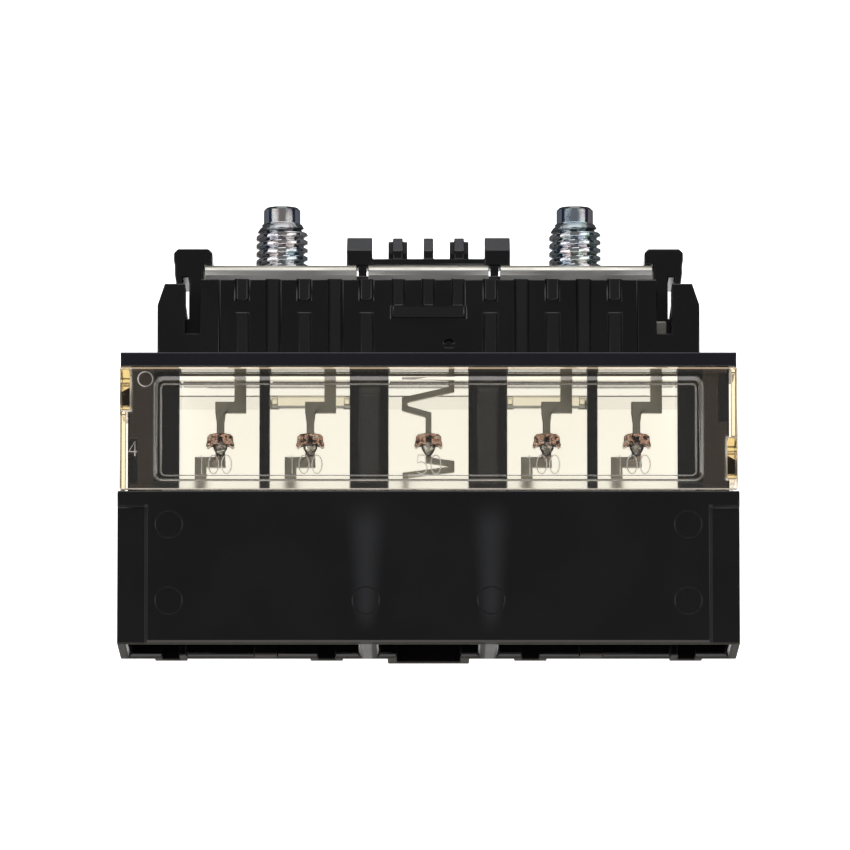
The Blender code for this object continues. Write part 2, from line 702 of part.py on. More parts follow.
def hook_parts(tools):
    """Snap hooks that hold the outer ends of the plates, each with a tapered hole in its stem."""
    head_inner = PLATE_END - HOOK_OVERLAP
    head_outer = HOOK_STEM_OUTER + HOOK_HEAD_LIP
    top = HOLD_DOWN + HOOK_HEAD_HEIGHT
    heel_outer = HOOK_STEM_OUTER - HOOK_TAPER
    outline = [
        (head_inner, HOLD_DOWN),
        (head_inner, top - HOOK_HEAD_BEVEL),
        (head_inner + HOOK_HEAD_BEVEL, top),
        (head_outer - HOOK_HEAD_BEVEL, top),
        (head_outer, top - HOOK_HEAD_BEVEL),
        (head_outer, HOLD_DOWN + HOOK_HEAD_BEVEL),
        (HOOK_STEM_OUTER, HOLD_DOWN),
        (HOOK_STEM_OUTER, PLATE_TOP - SHEET),
        (heel_outer, HOOK_HEEL),
        (heel_outer, WINDOW_TOP + BITE),
        (PLATE_END - BITE, WINDOW_TOP + BITE),
        (PLATE_END - BITE, HOOK_HEEL - BITE),
        (HOOK_STEM_INNER, HOOK_HEEL),
        (HOOK_STEM_INNER, HOLD_DOWN),
    ]
    hole_top = HOOK_HEEL + HOOK_HOLE_HEIGHT
    right = HOOK_STEM_OUTER - HOOK_OUTER_LEG
    left = right - HOOK_HOLE_WIDTH
    hole = [
        (left, HOOK_HEEL),
        (left + BITE, HOOK_HEEL),
        (right, hole_top),
        (left, hole_top),
    ]
    front = SLOT_REAR - 2 * STEP
    rear = front - HOOK_DEPTH
    hooks = []
    for side, name in zip(SIDES, ("hook_left", "hook_right")):
        hook = extruded(name, flipped(outline, side), rear, front, tools)
        cut(hook, extruded(f"{name}_hole", flipped(hole, side), rear - BITE, front + BITE, tools))
        hooks.append(hook)
    return hooks


def neck_gaps(tools):
    """Free gaps through the platform behind the two necks."""
    x = (NECK_CENTRE - NECK_GAP_WIDTH / 2, NECK_CENTRE + NECK_GAP_WIDTH / 2)
    height = (RAIL_TOP + NECK_GAP_FLOOR, PLATFORM_TOP + BITE)
    return boxes("neck_gaps", [(mirrored(*x, side), height, (-BITE, COMB_REAR)) for side in SIDES], tools)


def stud_pockets(tools):
    bm = bmesh.new()
    depth = (PLATFORM_TOP - HEAD_THICKNESS - GAP, PLATFORM_TOP + BITE)
    for side in SIDES:
        add_tube(bm, (side * STUD_X, STUD_Z), HEAD_RADIUS + GAP, depth)
    return object_from(bm, "stud_pockets", tools)


def dimple(tools):
    bm = bmesh.new()
    centre = Vector((DIMPLE_X, RAIL_TOP + DIMPLE_HEIGHT, WALL_FACE))
    bmesh.ops.create_cone(bm, cap_ends=True, segments=20, radius1=DIMPLE_RADIUS, radius2=DIMPLE_RADIUS,
                          depth=2 * DIMPLE_DEPTH, matrix=Matrix.Translation(centre))
    return object_from(bm, "dimple", tools)


def make_housing(parts, tools):
    body = ((-BODY_HALF, BODY_HALF), (0.0, PANEL_HEIGHT), (REAR_OVERHANG, FRONT))
    housing = boxes("housing", [body], parts)
    rail_half = BODY_HALF - RAIL_INSET
    rail = boxes("rail", [((-rail_half, rail_half), (WINDOW_TOP, RAIL_TOP), (REAR_OVERHANG, FRONT))], tools)
    join(housing, window_frame(tools), rail, *front_wall(tools))
    join(housing, wall_ribs(tools), *latch_frame(tools), *platform_parts(tools))
    bulges, channels = rear_latch_parts(tools)
    join(housing, bulges)
    cut(housing, front_strips(tools), rim_chamfer(tools), hood_cutters(tools), channels)
    cut(housing, *window_cutters(tools), strip_slots(tools))
    cut(housing, neck_gaps(tools), stud_pockets(tools), dimple(tools))
    join(housing, hood_ribs(tools), *snap_nubs(tools))
    join(housing, *comb_parts(tools), *hook_parts(tools))
    housing.data.materials.append(material("housing", (0.012, 0.012, 0.013), 0.45))


def cover_depth(span, rear):
    """Turn a depth span of the front cover into the rear cover's."""
    return (2 * MID_DEPTH - span[1], 2 * MID_DEPTH - span[0]) if rear else span


def cover_plate(name, half, parts, tools, rear=False):
    """A clear plate with a raised border on the front one's face and a raised field on the rear one's."""
    low = PANEL_HEIGHT + GAP
    high = WINDOW_TOP - GAP
    cover = boxes(name, [((-half, half), (low, high), cover_depth((COVER_BACK, COVER_FACE), rear))], parts)
    ridge_x = COVER_HALF - RIDGE_INSET
    ridge_y = (low + RIDGE_MARGIN, high - RIDGE_MARGIN)
    outer = rounded_rectangle((-ridge_x, ridge_x), ridge_y, RIDGE_CORNER)
    depth = cover_depth((COVER_FACE - BITE, COVER_FACE + RIDGE_HEIGHT), rear)
    ridge = extruded(f"{name}_ridge", outer, *depth, tools)
    if not rear:
        inner_x = ridge_x - RIDGE_WIDTH
        inner_y = (ridge_y[0] + RIDGE_BOTTOM_BAND, ridge_y[1] - RIDGE_TOP_BAND)
        inner = rounded_rectangle((-inner_x, inner_x), inner_y, RIDGE_CORNER / 2)
        cut(ridge, extruded(f"{name}_field", inner, depth[0] - BITE, depth[1] + BITE, tools))
    join(cover, ridge)
    cover.data.materials.append(material(name, (0.93, 0.86, 0.68), 0.08, alpha=0.35))
    return cover


def make_front_cover(parts, tools):
    """The front cover has a windowed arm at each end, which clips over a nub, and a short skirt beside it."""
    cover = cover_plate("front_window", COVER_HALF, parts, tools)
    lower, upper = nub_levels()
    arms = []
    holes = []
    for side, level in ((-1, upper), (1, lower)):
        arm_x = mirrored(COVER_HALF - ARM_THICKNESS, COVER_HALF - STEP, side)
        reach = ARM_WIDTH / 2 - STEP
        arms.append((arm_x, (level - reach, level + reach), (ARM_END, COVER_BACK + BITE)))
        hole_x = mirrored(COVER_HALF - ARM_THICKNESS - BITE, COVER_HALF + BITE, side)
        hole_y = (level - NUB_HEIGHT / 2 - GAP, level + NUB_HEIGHT / 2 + GAP)
        nub = (ARM_END + NUB_FROM_ARM_END - GAP, ARM_END + NUB_FROM_ARM_END + NUB_DEPTH + GAP)
        holes.append((hole_x, hole_y, nub))
    join(cover, boxes("cover_arms", arms, tools))
    low = (PANEL_HEIGHT + GAP + STEP, upper - ARM_WIDTH / 2 - GAP)
    high = (lower + ARM_WIDTH / 2 + GAP, WINDOW_TOP - GAP - STEP)
    depth = (COVER_BACK - SKIRT_LENGTH, COVER_BACK + BITE)
    skirt = (COVER_HALF - SKIRT_THICKNESS, COVER_HALF - STEP)
    skirts = [(mirrored(*skirt, side), height, depth) for side, height in ((-1, low), (1, high))]
    join(cover, boxes("cover_skirts", skirts, tools))
    cut(cover, boxes("arm_windows", holes, tools))


def make_rear_cover(parts, tools):
    """The rear cover lies inside the frame's outline and has short legs in two of the fuse windows."""
    cover = cover_plate("rear_window", FRAME_HALF - REAR_COVER_INSET, parts, tools, rear=True)
    top = WINDOW_TOP - WINDOW_TOP_MARGIN - LEG_DROP
    depth = cover_depth((COVER_BACK - LEG_LENGTH, COVER_BACK + BITE), True)
    legs = []
    for pole in (-INNER_POLE, INNER_POLE):
        for side in SIDES:
            outer = pole + side * (WINDOW_WIDTH / 2 - GAP)
            inner = outer - side * LEG_WIDTH
            legs.append(((min(outer, inner), max(outer, inner)), (top - LEG_HEIGHT, top), depth))
    join(cover, boxes("cover_legs", legs, tools))


def heavy_strip(pole):
    """Left edge downwards, then right edge upwards, of a wide fuse strip."""
    upper, lower = strip_spans(pole)
    middle = WINDOW_MIDDLE
    down = [
        (upper[0], middle + UPPER_LIMB_TOP),
        (pole - NECK_HALF, middle + UPPER_LIMB_TOP),
        (pole - NECK_HALF, middle + UPPER_LIMB_BOTTOM),
        (pole - WAIST_HALF, middle + WAIST_TOP),
        (pole - WAIST_HALF, middle + WAIST_BOTTOM),
        (pole - NECK_HALF, middle + LOWER_LIMB_TOP),
        (lower[0], middle + LOWER_LIMB_TOP),
    ]
    up = [
        (lower[1], middle + LOWER_LIMB_BOTTOM),
        (pole + NECK_HALF, middle + LOWER_LIMB_BOTTOM),
        (pole + WAIST_HALF, middle + WAIST_BOTTOM),
        (pole + WAIST_HALF, middle + WAIST_TOP),
        (pole + NECK_HALF, middle + UPPER_LIMB_BOTTOM),
        (upper[1], middle + UPPER_LIMB_BOTTOM),
    ]
    return down, up


def stroke_sides(points, width):
    """Left and right edges of a ribbon with mitred corners that follows the points."""
    left = []
    right = []
    for index, point in enumerate(points):
        here = Vector(point)
        before = (here - Vector(points[index - 1])).normalized() if index else None
        after = (Vector(points[index + 1]) - here).normalized() if index + 1 < len(points) else None
        before = before or after
        after = after or before
        normal = (Vector((-before.y, before.x)) + Vector((-after.y, after.x))).normalized()
        reach = width / 2 / normal.dot(Vector((-after.y, after.x)))
        left.append(tuple(here + normal * reach))
        right.append(tuple(here - normal * reach))
    return left, right


def light_strip(pole):
    """The narrow zigzag strip of the middle fuse, in shares of its offset across."""
    path = [(pole + share * LIGHT_OFFSET, WINDOW_MIDDLE + level) for share, level in LIGHT_PATH]
    path = [(path[0][0], RAIL_TOP)] + path + [(path[-1][0], HOOD_TOP)]
    left, right = stroke_sides(path, LIGHT_WIDTH)
    return right[1:-1], left[-2:0:-1]


def blade_outline(pole):
    """The blade at the end of a strip, from its left shoulder round to its right one."""
    half = BLADE_WIDTH / 2
    top = HOOD_TOP - BLADE_STEP
    lower = strip_spans(pole)[1]
    return [
        (lower[0], top),
        (pole - half, top),
        (pole - half, BLADE_END + BLADE_POINT),
        (pole - half + BLADE_POINT, BLADE_END),
        (pole + half - BLADE_POINT, BLADE_END),
        (pole + half, BLADE_END + BLADE_POINT),
        (pole + half, top),
        (lower[1], top),
    ]


def bend_start():
    return PLATE_TOP - SHEET - BEND_RADIUS


def neutral_radius():
    return BEND_RADIUS + SHEET / 2


def blank_outline(plate_span, poles):
    """The flat sheet before folding: plate, leg, strips and blades in one outline."""
    bend = neutral_radius() * math.pi / 2
    top = bend_start() + bend + MID_DEPTH - neutral_radius() - PLATE_REAR
    bottom = RAIL_TOP + GAP
    left, right = plate_span
    points = [(left + PLATE_CORNER, top), (left, top - PLATE_CORNER)]
    wing = RAIL_TOP + WING_LEVEL
    reach = strip_spans(poles[-1])[0][1] + WING_BORDER
    points.append((left, bottom))
    for pole in poles:
        upper = strip_spans(pole)[0]
        down, up = light_strip(pole) if pole == 0.0 else heavy_strip(pole)
        points += [(upper[0], bottom)] + down + blade_outline(pole) + up + [(upper[1], bottom)]
    if reach > right:
        points += [(reach, bottom), (reach, wing), (right, wing)]
    else:
        points.append((right, bottom))
    points += [(right, top - PLATE_CORNER), (right - PLATE_CORNER, top)]
    return points


def fold_plate(bar):
    """Fold the sheet back by a right angle above the bend line."""
    start = bend_start()
    radius = neutral_radius()
    arc = radius * math.pi / 2
    bm = bmesh.new()
    bm.from_mesh(bar.data)
    for step in range(BEND_STEPS + 1):
        everything = bm.verts[:] + bm.edges[:] + bm.faces[:]
        bmesh.ops.bisect_plane(bm, geom=everything, dist=1e-7, plane_no=(0, 1, 0),
                               plane_co=(0, start + arc * step / BEND_STEPS, 0))
    for vert in bm.verts:
        along = vert.co.y - start
        if along <= 0.0:
            continue
        offset = vert.co.z - MID_DEPTH
        angle = min(along, arc) / radius
        straight = max(along - arc, 0.0)
        vert.co.y = start + (radius + offset) * math.sin(angle)
        vert.co.z = MID_DEPTH - radius + (radius + offset) * math.cos(angle) - straight
    bmesh.ops.recalc_face_normals(bm, faces=bm.faces)
    bm.to_mesh(bar.data)
    bm.free()


def claw_tools(pole, tag, tools):
    """A crimp barrel with flared lower corners, hollow for the pellet and open along its middle."""
    right = [(pole + CLAW_HALF_WIDTH * u, CLAW_BASE + CLAW_HEIGHT * v) for u, v in CLAW_OUTLINE]
    left = [(2 * pole - x, y) for x, y in reversed(right)]
    front = SHEET_FRONT + CLAW_DEPTH
    claw = extruded(f"claw_{tag}", right + left, SHEET_FRONT - CLAW_WALL, front, tools)
    through = (CLAW_BASE - CLAW_HEIGHT, CLAW_ROOF)
    inner = CLAW_HALF_WIDTH - CLAW_WALL
    mouth = CLAW_MOUTH_HALF
    hollow = [((pole - inner, pole + inner), through, (SHEET_FRONT + STEP, front - CLAW_WALL)),
              ((pole - mouth, pole + mouth), through, (front - CLAW_WALL - BITE, front + BITE))]
    for index, span in enumerate(hollow):
        cut(claw, boxes(f"claw_hollow_{tag}_{index}", [span], tools))
    return claw


def stud_hole(side, tools):
    """The hole that a stud passes through, across the folded plate."""
    bm = bmesh.new()
    add_tube(bm, (side * STUD_X, STUD_Z), STUD_RADIUS + GAP, (PLATE_TOP - 2 * SHEET, PLATE_TOP + SHEET))
    return object_from(bm, "stud_hole_left" if side < 0 else "stud_hole_right", tools)


def make_bus_bar(name, plate_span, poles, parts, tools, stud_side=0):
    bar = extruded(name, blank_outline(plate_span, poles), SHEET_REAR, SHEET_FRONT, parts)
    fold_plate(bar)
    for pole in poles:
        join(bar, claw_tools(pole, POLES.index(pole) + 1, tools))
    if stud_side:
        cut(bar, stud_hole(stud_side, tools))
    bar.data.materials.append(material(name, (0.55, 0.53, 0.48), 0.35, metallic=1.0))


def make_pellet(number, pole, parts):
    """A tin slug that runs out of the claw to a blunt tip."""
    half = CLAW_HALF_WIDTH - CLAW_WALL - GAP
    top = CLAW_ROOF - GAP
    tip = CLAW_BASE - PELLET_DROP
    outline = [(pole + half, top), (pole - half, top), (pole - half, CLAW_BASE),
               (pole - PELLET_TIP_HALF, tip), (pole + PELLET_TIP_HALF, tip), (pole + half, CLAW_BASE)]
    low = SHEET_FRONT + GAP
    pellet = extruded(f"fuse_pellet_{number}", outline, low, low + PELLET_THICKNESS, parts)
    pellet.data.materials.append(material(f"fuse_pellet_{number}", (0.6, 0.59, 0.56), 0.4, metallic=1.0))


def stud_profile():
    """Right half of the stud in (radius, height over the plate), from the tip down to the head."""
    root = STUD_RADIUS - THREAD_DEPTH
    flank = (THREAD_PITCH - THREAD_CREST - THREAD_ROOT) / 2
    thread_top = STUD_HEIGHT - DOG_LENGTH - flank
    turns = int(thread_top / THREAD_PITCH)
    points = [
        (0.0, STUD_HEIGHT),
        (DOG_RADIUS - DOG_CHAMFER, STUD_HEIGHT),
        (DOG_RADIUS, STUD_HEIGHT - DOG_CHAMFER),
        (DOG_RADIUS, STUD_HEIGHT - DOG_LENGTH),
        (root, STUD_HEIGHT - DOG_LENGTH),
    ]
    for turn in range(turns):
        crest = thread_top - turn * THREAD_PITCH
        points += [
            (STUD_RADIUS, crest),
            (STUD_RADIUS, crest - THREAD_CREST),
            (root, crest - THREAD_CREST - flank),
            (root, crest - THREAD_PITCH + flank),
        ]
    under_plate = -SHEET - GAP
    points += [
        (STUD_RADIUS, thread_top - turns * THREAD_PITCH),
        (STUD_RADIUS, under_plate),
        (HEAD_RADIUS, under_plate),
        (HEAD_RADIUS, under_plate - HEAD_THICKNESS),
        (0.0, under_plate - HEAD_THICKNESS),
    ]
    return points


def make_stud(name, side, parts):
    """A turned stud: the profile is spun about its own Z, which then points along +Y."""
    points = stud_profile()
    mesh = bpy.data.meshes.new(name)
    edges = [(index, index + 1) for index in range(len(points) - 1)]
    mesh.from_pydata([(radius, 0.0, height) for radius, height in points], edges, [])
    stud = bpy.data.objects.new(name, mesh)
    parts.objects.link(stud)
    spin = stud.modifiers.new("turned", "SCREW")
    spin.axis = "Z"
    spin.angle = 2 * math.pi
    spin.steps = STUD_STEPS
    spin.render_steps = STUD_STEPS
    spin.use_merge_vertices = True
    spin.merge_threshold = 0.00001
    stud.rotation_euler = (-math.pi / 2, 0.0, 0.0)
    stud.location = (side * STUD_X, PLATE_TOP, STUD_Z)
    mesh.materials.append(material(name, (0.72, 0.74, 0.76), 0.22, metallic=1.0))


def main():
    clear_scene()
    parts = new_collection("fuse_block")
    tools = new_collection("cutters")
    frame = bpy.data.objects.new("fuse_block_frame", None)
    frame.location = (0.0, -STUD_TIP / 2, 0.0)
    parts.objects.link(frame)
    make_housing(parts, tools)
    make_front_cover(parts, tools)
    make_rear_cover(parts, tools)
    neck_clear = NECK_WIDTH / 2 + GAP
    left_plate = (-PLATE_END, -NECK_CENTRE - neck_clear)
    centre_plate = (-NECK_CENTRE + neck_clear, NECK_CENTRE - neck_clear)
    right_plate = (NECK_CENTRE + neck_clear, PLATE_END)
    make_bus_bar("left_bus_bar", left_plate, LEFT_POLES, parts, tools, stud_side=-1)
    make_bus_bar("centre_bus_bar", centre_plate, (0.0,), parts, tools)
    make_bus_bar("right_bus_bar", right_plate, RIGHT_POLES, parts, tools, stud_side=1)
    make_stud("left_stud", -1, parts)
    make_stud("right_stud", 1, parts)
    for number, pole in enumerate(POLES, start=1):
        make_pellet(number, pole, parts)
    for item in list(parts.objects) + list(tools.objects):
        if item is not frame:
            item.parent = frame


main()
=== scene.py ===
import math

import bmesh
import bpy
from mathutils import Matrix, Vector


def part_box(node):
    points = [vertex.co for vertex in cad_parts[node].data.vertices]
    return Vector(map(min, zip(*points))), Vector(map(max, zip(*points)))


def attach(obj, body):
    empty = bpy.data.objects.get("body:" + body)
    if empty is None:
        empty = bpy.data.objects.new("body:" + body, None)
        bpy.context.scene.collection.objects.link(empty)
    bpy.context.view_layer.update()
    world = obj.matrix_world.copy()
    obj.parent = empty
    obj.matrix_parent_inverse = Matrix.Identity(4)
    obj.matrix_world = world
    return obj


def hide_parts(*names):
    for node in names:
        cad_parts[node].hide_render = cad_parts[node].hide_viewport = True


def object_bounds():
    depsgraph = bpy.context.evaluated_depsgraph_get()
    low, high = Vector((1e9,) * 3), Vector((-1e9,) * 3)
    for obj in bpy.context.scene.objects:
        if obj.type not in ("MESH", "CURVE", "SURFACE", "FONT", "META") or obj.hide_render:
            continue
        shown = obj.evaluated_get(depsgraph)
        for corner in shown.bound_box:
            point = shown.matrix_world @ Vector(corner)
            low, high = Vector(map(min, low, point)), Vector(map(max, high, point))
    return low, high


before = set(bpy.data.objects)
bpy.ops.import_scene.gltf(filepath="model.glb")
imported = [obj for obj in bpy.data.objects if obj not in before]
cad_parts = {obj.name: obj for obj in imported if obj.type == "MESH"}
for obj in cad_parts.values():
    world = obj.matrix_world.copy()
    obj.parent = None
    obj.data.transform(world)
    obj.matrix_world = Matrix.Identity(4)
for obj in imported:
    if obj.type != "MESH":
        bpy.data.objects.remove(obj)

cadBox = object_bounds()
mm = 0.001
rimY = cadBox[0].y            # the connector rim: heights up the block are counted from here
frontZ = cadBox[1].z
near = 0.05 * mm              # a corner this close to a named place lies on it
poles = (-31.7 * mm, -18.0 * mm, 0.0, 18.0 * mm, 31.7 * mm)
root = "root"
print("frame loaded with", len(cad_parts), "nodes")


def addNode(tree, kind, values=None, **settings):
    node = tree.nodes.new(kind)
    for name, value in settings.items():
        setattr(node, name, value)
    for socket, value in (values or {}).items():
        node.inputs[socket].default_value = value
    return node


def calculate(tree, operation, first, second=None):
    node = addNode(tree, "ShaderNodeMath", operation=operation)
    for index, value in enumerate((first, second)):
        if isinstance(value, bpy.types.NodeSocket):
            tree.links.new(value, node.inputs[index])
        elif value is not None:
            node.inputs[index].default_value = value
    return node.outputs[0]


def product(tree, first, second):
    return calculate(tree, "MULTIPLY", first, second)


def isOver(tree, value, limit):
    return calculate(tree, "GREATER_THAN", value, limit)


def isUnder(tree, value, limit):
    return calculate(tree, "LESS_THAN", value, limit)


def between(tree, value, low, high):
    return product(tree, isOver(tree, value, low), isUnder(tree, value, high))


def mapped(tree, value, low, high, newLow=0.0, newHigh=1.0, smooth=True):
    ends = {"From Min": low, "From Max": high, "To Min": newLow, "To Max": newHigh}
    node = addNode(tree, "ShaderNodeMapRange", ends)
    node.interpolation_type = "SMOOTHSTEP" if smooth else "LINEAR"
    tree.links.new(value, node.inputs["Value"])
    return node.outputs["Result"]


def fading(tree, value, low, high):
    # full up to low, none from high on
    return mapped(tree, value, low, high, 1.0, 0.0)


def separated(tree, place):
    axes = addNode(tree, "ShaderNodeSeparateXYZ")
    tree.links.new(place, axes.inputs[0])
    return axes.outputs


def blended(tree, mask, first, second):
    # a colour Mix node takes its two colours on inputs 6 and 7 and gives the result on output 2
    node = addNode(tree, "ShaderNodeMix", data_type="RGBA")
    for socket, value in ((node.inputs[0], mask), (node.inputs[6], first), (node.inputs[7], second)):
        if isinstance(value, bpy.types.NodeSocket):
            tree.links.new(value, socket)
        elif isinstance(value, tuple):
            socket.default_value = (*value, 1.0)
        else:
            socket.default_value = value
    return node.outputs[2]


grainLook = {"fine": {"Detail": 3.0, "Roughness": 0.6}, "slow": {"Detail": 4.0, "Roughness": 0.55},
             "ends": (0.3, 0.7)}


def makeSurfaceGrain():
    # fine moulded or rolled grain, and slow clouds that vary it
    group = bpy.data.node_groups.new("surfaceGrain", "ShaderNodeTree")
    group.interface.new_socket(name="Place", in_out="INPUT", socket_type="NodeSocketVector")
    for way, names in (("INPUT", ("Grain Scale", "Cloud Scale")), ("OUTPUT", ("Grain", "Clouds"))):
        for name in names:
            group.interface.new_socket(name=name, in_out=way, socket_type="NodeSocketFloat")
    given = addNode(group, "NodeGroupInput")
    result = addNode(group, "NodeGroupOutput")
    for name, scale, output in (("fine", "Grain Scale", "Grain"), ("slow", "Cloud Scale", "Clouds")):
        noise = addNode(group, "ShaderNodeTexNoise", grainLook[name])
        group.links.new(given.outputs["Place"], noise.inputs["Vector"])
        group.links.new(given.outputs[scale], noise.inputs["Scale"])
        spread = mapped(group, noise.outputs["Fac"], *grainLook["ends"])
        group.links.new(spread, result.inputs[output])
    return group


surfaceGrain = makeSurfaceGrain()


def startMaterial(name, look, **fixed):
    # the fixed values are the same all over, so they go on the shader's own sockets
    material = bpy.data.materials.new(name)
    material.use_nodes = True
    tree = material.node_tree
    shader = tree.nodes["Principled BSDF"]
    for socket, value in fixed.items():
        shader.inputs[socket.replace("_", " ")].default_value = value
    place = addNode(tree, "ShaderNodeTexCoord").outputs["Object"]
    scales = {"Grain Scale": look["grain"], "Cloud Scale": look["clouds"]}
    grain = addNode(tree, "ShaderNodeGroup", scales, node_tree=surfaceGrain)
    tree.links.new(place, grain.inputs["Place"])
    return material, tree, shader, place, grain.outputs


def varied(tree, share, look):
    # the roughness between the smoothest and the roughest places
    return mapped(tree, share, 0.0, 1.0, look["smooth"], look["rough"], smooth=False)


def addBump(tree, shader, height, strength, distance, under=None):
    bump = addNode(tree, "ShaderNodeBump", {"Strength": strength, "Distance": distance})
    tree.links.new(height, bump.inputs["Height"])
    if under:
        tree.links.new(under, bump.inputs["Normal"])
    tree.links.new(bump.outputs["Normal"], shader.inputs["Normal"])


ejectorPlaces = ((39.3 * mm, 18.2 * mm), (39.3 * mm, 6.6 * mm), (9.5 * mm, 6.6 * mm))
plasticLook = {
    "dark": (0.0012, 0.0012, 0.0013), "light": (0.0019, 0.0019, 0.0021), "smooth": 0.22, "rough": 0.27,
    "grain": 4200.0, "clouds": 70.0, "bump": (0.15, 0.008 * mm), "index": 1.5, "mirrorIndex": 2.2,
    "sinkCentre": 9.45 * mm, "sinkHalfWidth": 4.0 * mm, "sinkNarrow": 0.45, "sinkFull": 22.0 * mm,
    "sinkFoot": (1.0 * mm, 6.0 * mm), "sinkTop": (17.0 * mm, 22.8 * mm),
    "sinkFront": (frontZ - 0.3 * mm, frontZ - 0.2 * mm), "sinkSheen": (0.022, 0.0225, 0.024),
    "rail": (42.3 * mm, 44.7 * mm), "railFade": 0.1 * mm, "railColour": (0.0062, 0.0062, 0.0105),
    "ribFoot": 44.8 * mm, "ribFace": 23.9 * mm, "ribColour": (0.0086, 0.0086, 0.0089),
    "panelFront": 24.6 * mm, "ring": (1.92 * mm, 2.2 * mm), "ringHighlight": (0.011, 0.011, 0.0105),
    "step": (42.45 * mm, 43.0 * mm), "stepTop": 21.2 * mm, "stepHighlight": (0.030, 0.030, 0.031),
    "combTop": 62.12 * mm, "combBack": 9.0 * mm, "combHighlight": (0.042, 0.042, 0.044),
    "rim": (0.1 * mm, 0.35 * mm), "rimLitColour": (0.045, 0.042, 0.031), "rimRough": 0.6,
    "wallEnds": (0.4, 0.6), "wallEndShare": 0.35,
    "polished": (8.5 * mm, 24.3 * mm), "polishedHeight": (23.4 * mm, 42.4 * mm), "polishedHalf": 40.0 * mm,
}


def paleMarks(tree, across, height, depth, away):
    # masks of the paler places on the moulding with their colours, in the order of painting
    look = plasticLook
    # the walls of the middle hood leave sink marks on the front panel; their sheen is painted on as paler
    # bands
    sink = product(tree, fading(tree, away, 0.0, 1.0), mapped(tree, height, *look["sinkFoot"]))
    sink = product(tree, sink, fading(tree, height, *look["sinkTop"]))
    sink = product(tree, sink, mapped(tree, depth, *look["sinkFront"]))
    # the rail is a little bluer too
    low, high = look["rail"]
    rail = mapped(tree, height, low - look["railFade"], low)
    rail = product(tree, rail, fading(tree, height, high, high + look["railFade"]))
    # the ribs' faces are painted paler, and the rims of the ejector marks, the panel's side edges and the
    # comb's slopes carry painted highlights
    ribs = product(tree, isOver(tree, height, look["ribFoot"]), isOver(tree, depth, look["ribFace"]))
    marks = [(sink, look["sinkSheen"]), (rail, look["railColour"]), (ribs, look["ribColour"])]
    front = isOver(tree, depth, look["panelFront"])
    # painted highlights on the rims of the ejector marks
    for x, y in ejectorPlaces:
        aside = calculate(tree, "SUBTRACT", across, x)
        above = calculate(tree, "SUBTRACT", height, y)
        square = calculate(tree, "ADD", product(tree, aside, aside), product(tree, above, above))
        ring = between(tree, calculate(tree, "SQRT", square), *look["ring"])
        marks.append((product(tree, ring, front), look["ringHighlight"]))
    # painted highlight along the panel's side edges
    step = product(tree, between(tree, across, *look["step"]), front)
    marks.append((product(tree, step, isUnder(tree, height, look["stepTop"])), look["stepHighlight"]))
    # painted highlight on the comb's slopes, which catch the light from above and behind
    comb = product(tree, isOver(tree, height, look["combTop"]), isOver(tree, depth, look["combBack"]))
    return marks + [(comb, look["combHighlight"])]


def makeBlackPlastic():
    look = plasticLook
    material, tree, shader, place, grain = startMaterial(
        "blackPlastic", look, IOR=look["index"], Coat_IOR=look["mirrorIndex"])
    axes = separated(tree, place)
    across = calculate(tree, "ABSOLUTE", axes["X"])
    height = calculate(tree, "SUBTRACT", axes["Y"], rimY)
    # the distance from the middle of a sink mark, in half widths of the mark, which widens upwards
    away = calculate(tree, "ABSOLUTE", calculate(tree, "SUBTRACT", across, look["sinkCentre"]))
    spread = mapped(tree, height, 0.0, look["sinkFull"], look["sinkNarrow"], 1.0, smooth=False)
    away = calculate(tree, "DIVIDE", away, product(tree, spread, look["sinkHalfWidth"]))
    colour = blended(tree, grain["Clouds"], look["dark"], look["light"])
    for mask, paler in paleMarks(tree, across, height, axes["Z"], away):
        colour = blended(tree, mask, colour, paler)
    # the rim is painted greyer, a painted reflection of the light from below, and made dull, but less so
    # where the middle hood's walls end
    rim = fading(tree, height, *look["rim"])
    colour = blended(tree, rim, colour, look["rimLitColour"])
    tree.links.new(colour, shader.inputs["Base Color"])
    rim = product(tree, rim, mapped(tree, away, *look["wallEnds"], look["wallEndShare"], 1.0))
    rough = calculate(tree, "ADD", varied(tree, grain["Clouds"], look), product(tree, rim, look["rimRough"]))
    tree.links.new(rough, shader.inputs["Roughness"])
    # the walls inside the fuse windows are polished and mirror the light table
    polished = between(tree, axes["Z"], *look["polished"])
    polished = product(tree, polished, between(tree, height, *look["polishedHeight"]))
    polished = product(tree, polished, isUnder(tree, across, look["polishedHalf"]))
    tree.links.new(polished, shader.inputs["Coat Weight"])
    addBump(tree, shader, grain["Grain"], *look["bump"])
    return material


coverLook = {
    "tint": (0.995, 0.99, 0.98), "warm": (0.99, 0.985, 0.965), "smooth": 0.015, "rough": 0.05,
    "grain": 2600.0, "clouds": 90.0, "bump": (0.06, 0.05 * mm), "index": 1.56,
    "body": (0.76, 0.60, 0.08), "density": 88.0, "face": frontZ - 0.45 * mm,
    "frost": 0.28, "frostTop": 24.85 * mm,
    "margin": (41.6 * mm, 45.3 * mm), "litMargin": (0.013, 0.007, 0.0025),
    "shade": (40.86 * mm, 41.48 * mm), "shadeTint": (0.52, 0.50, 0.44),
    "haze": (39.45 * mm, 40.84 * mm), "hazeTint": (0.93, 0.90, 0.83),
    "legs": (38.2 * mm, 40.3 * mm), "legDepth": (6.6 * mm, 12.4 * mm), "legTint": (0.88, 0.87, 0.85),
    "arms": 45.35 * mm, "armTint": (0.94, 0.87, 0.78), "litEdge": (0.100, 0.090, 0.080),
    "seam": 42.0 * mm, "litSeam": (0.36, 0.265, 0.175), "foot": 23.85 * mm, "litFoot": (0.46, 0.41, 0.34),
    "stroke": (0.44, 0.44, 0.42), "litStroke": (0.20, 0.19, 0.175),
    "padStroke": 43.0 * mm, "litPad": (0.40, 0.37, 0.34),
}


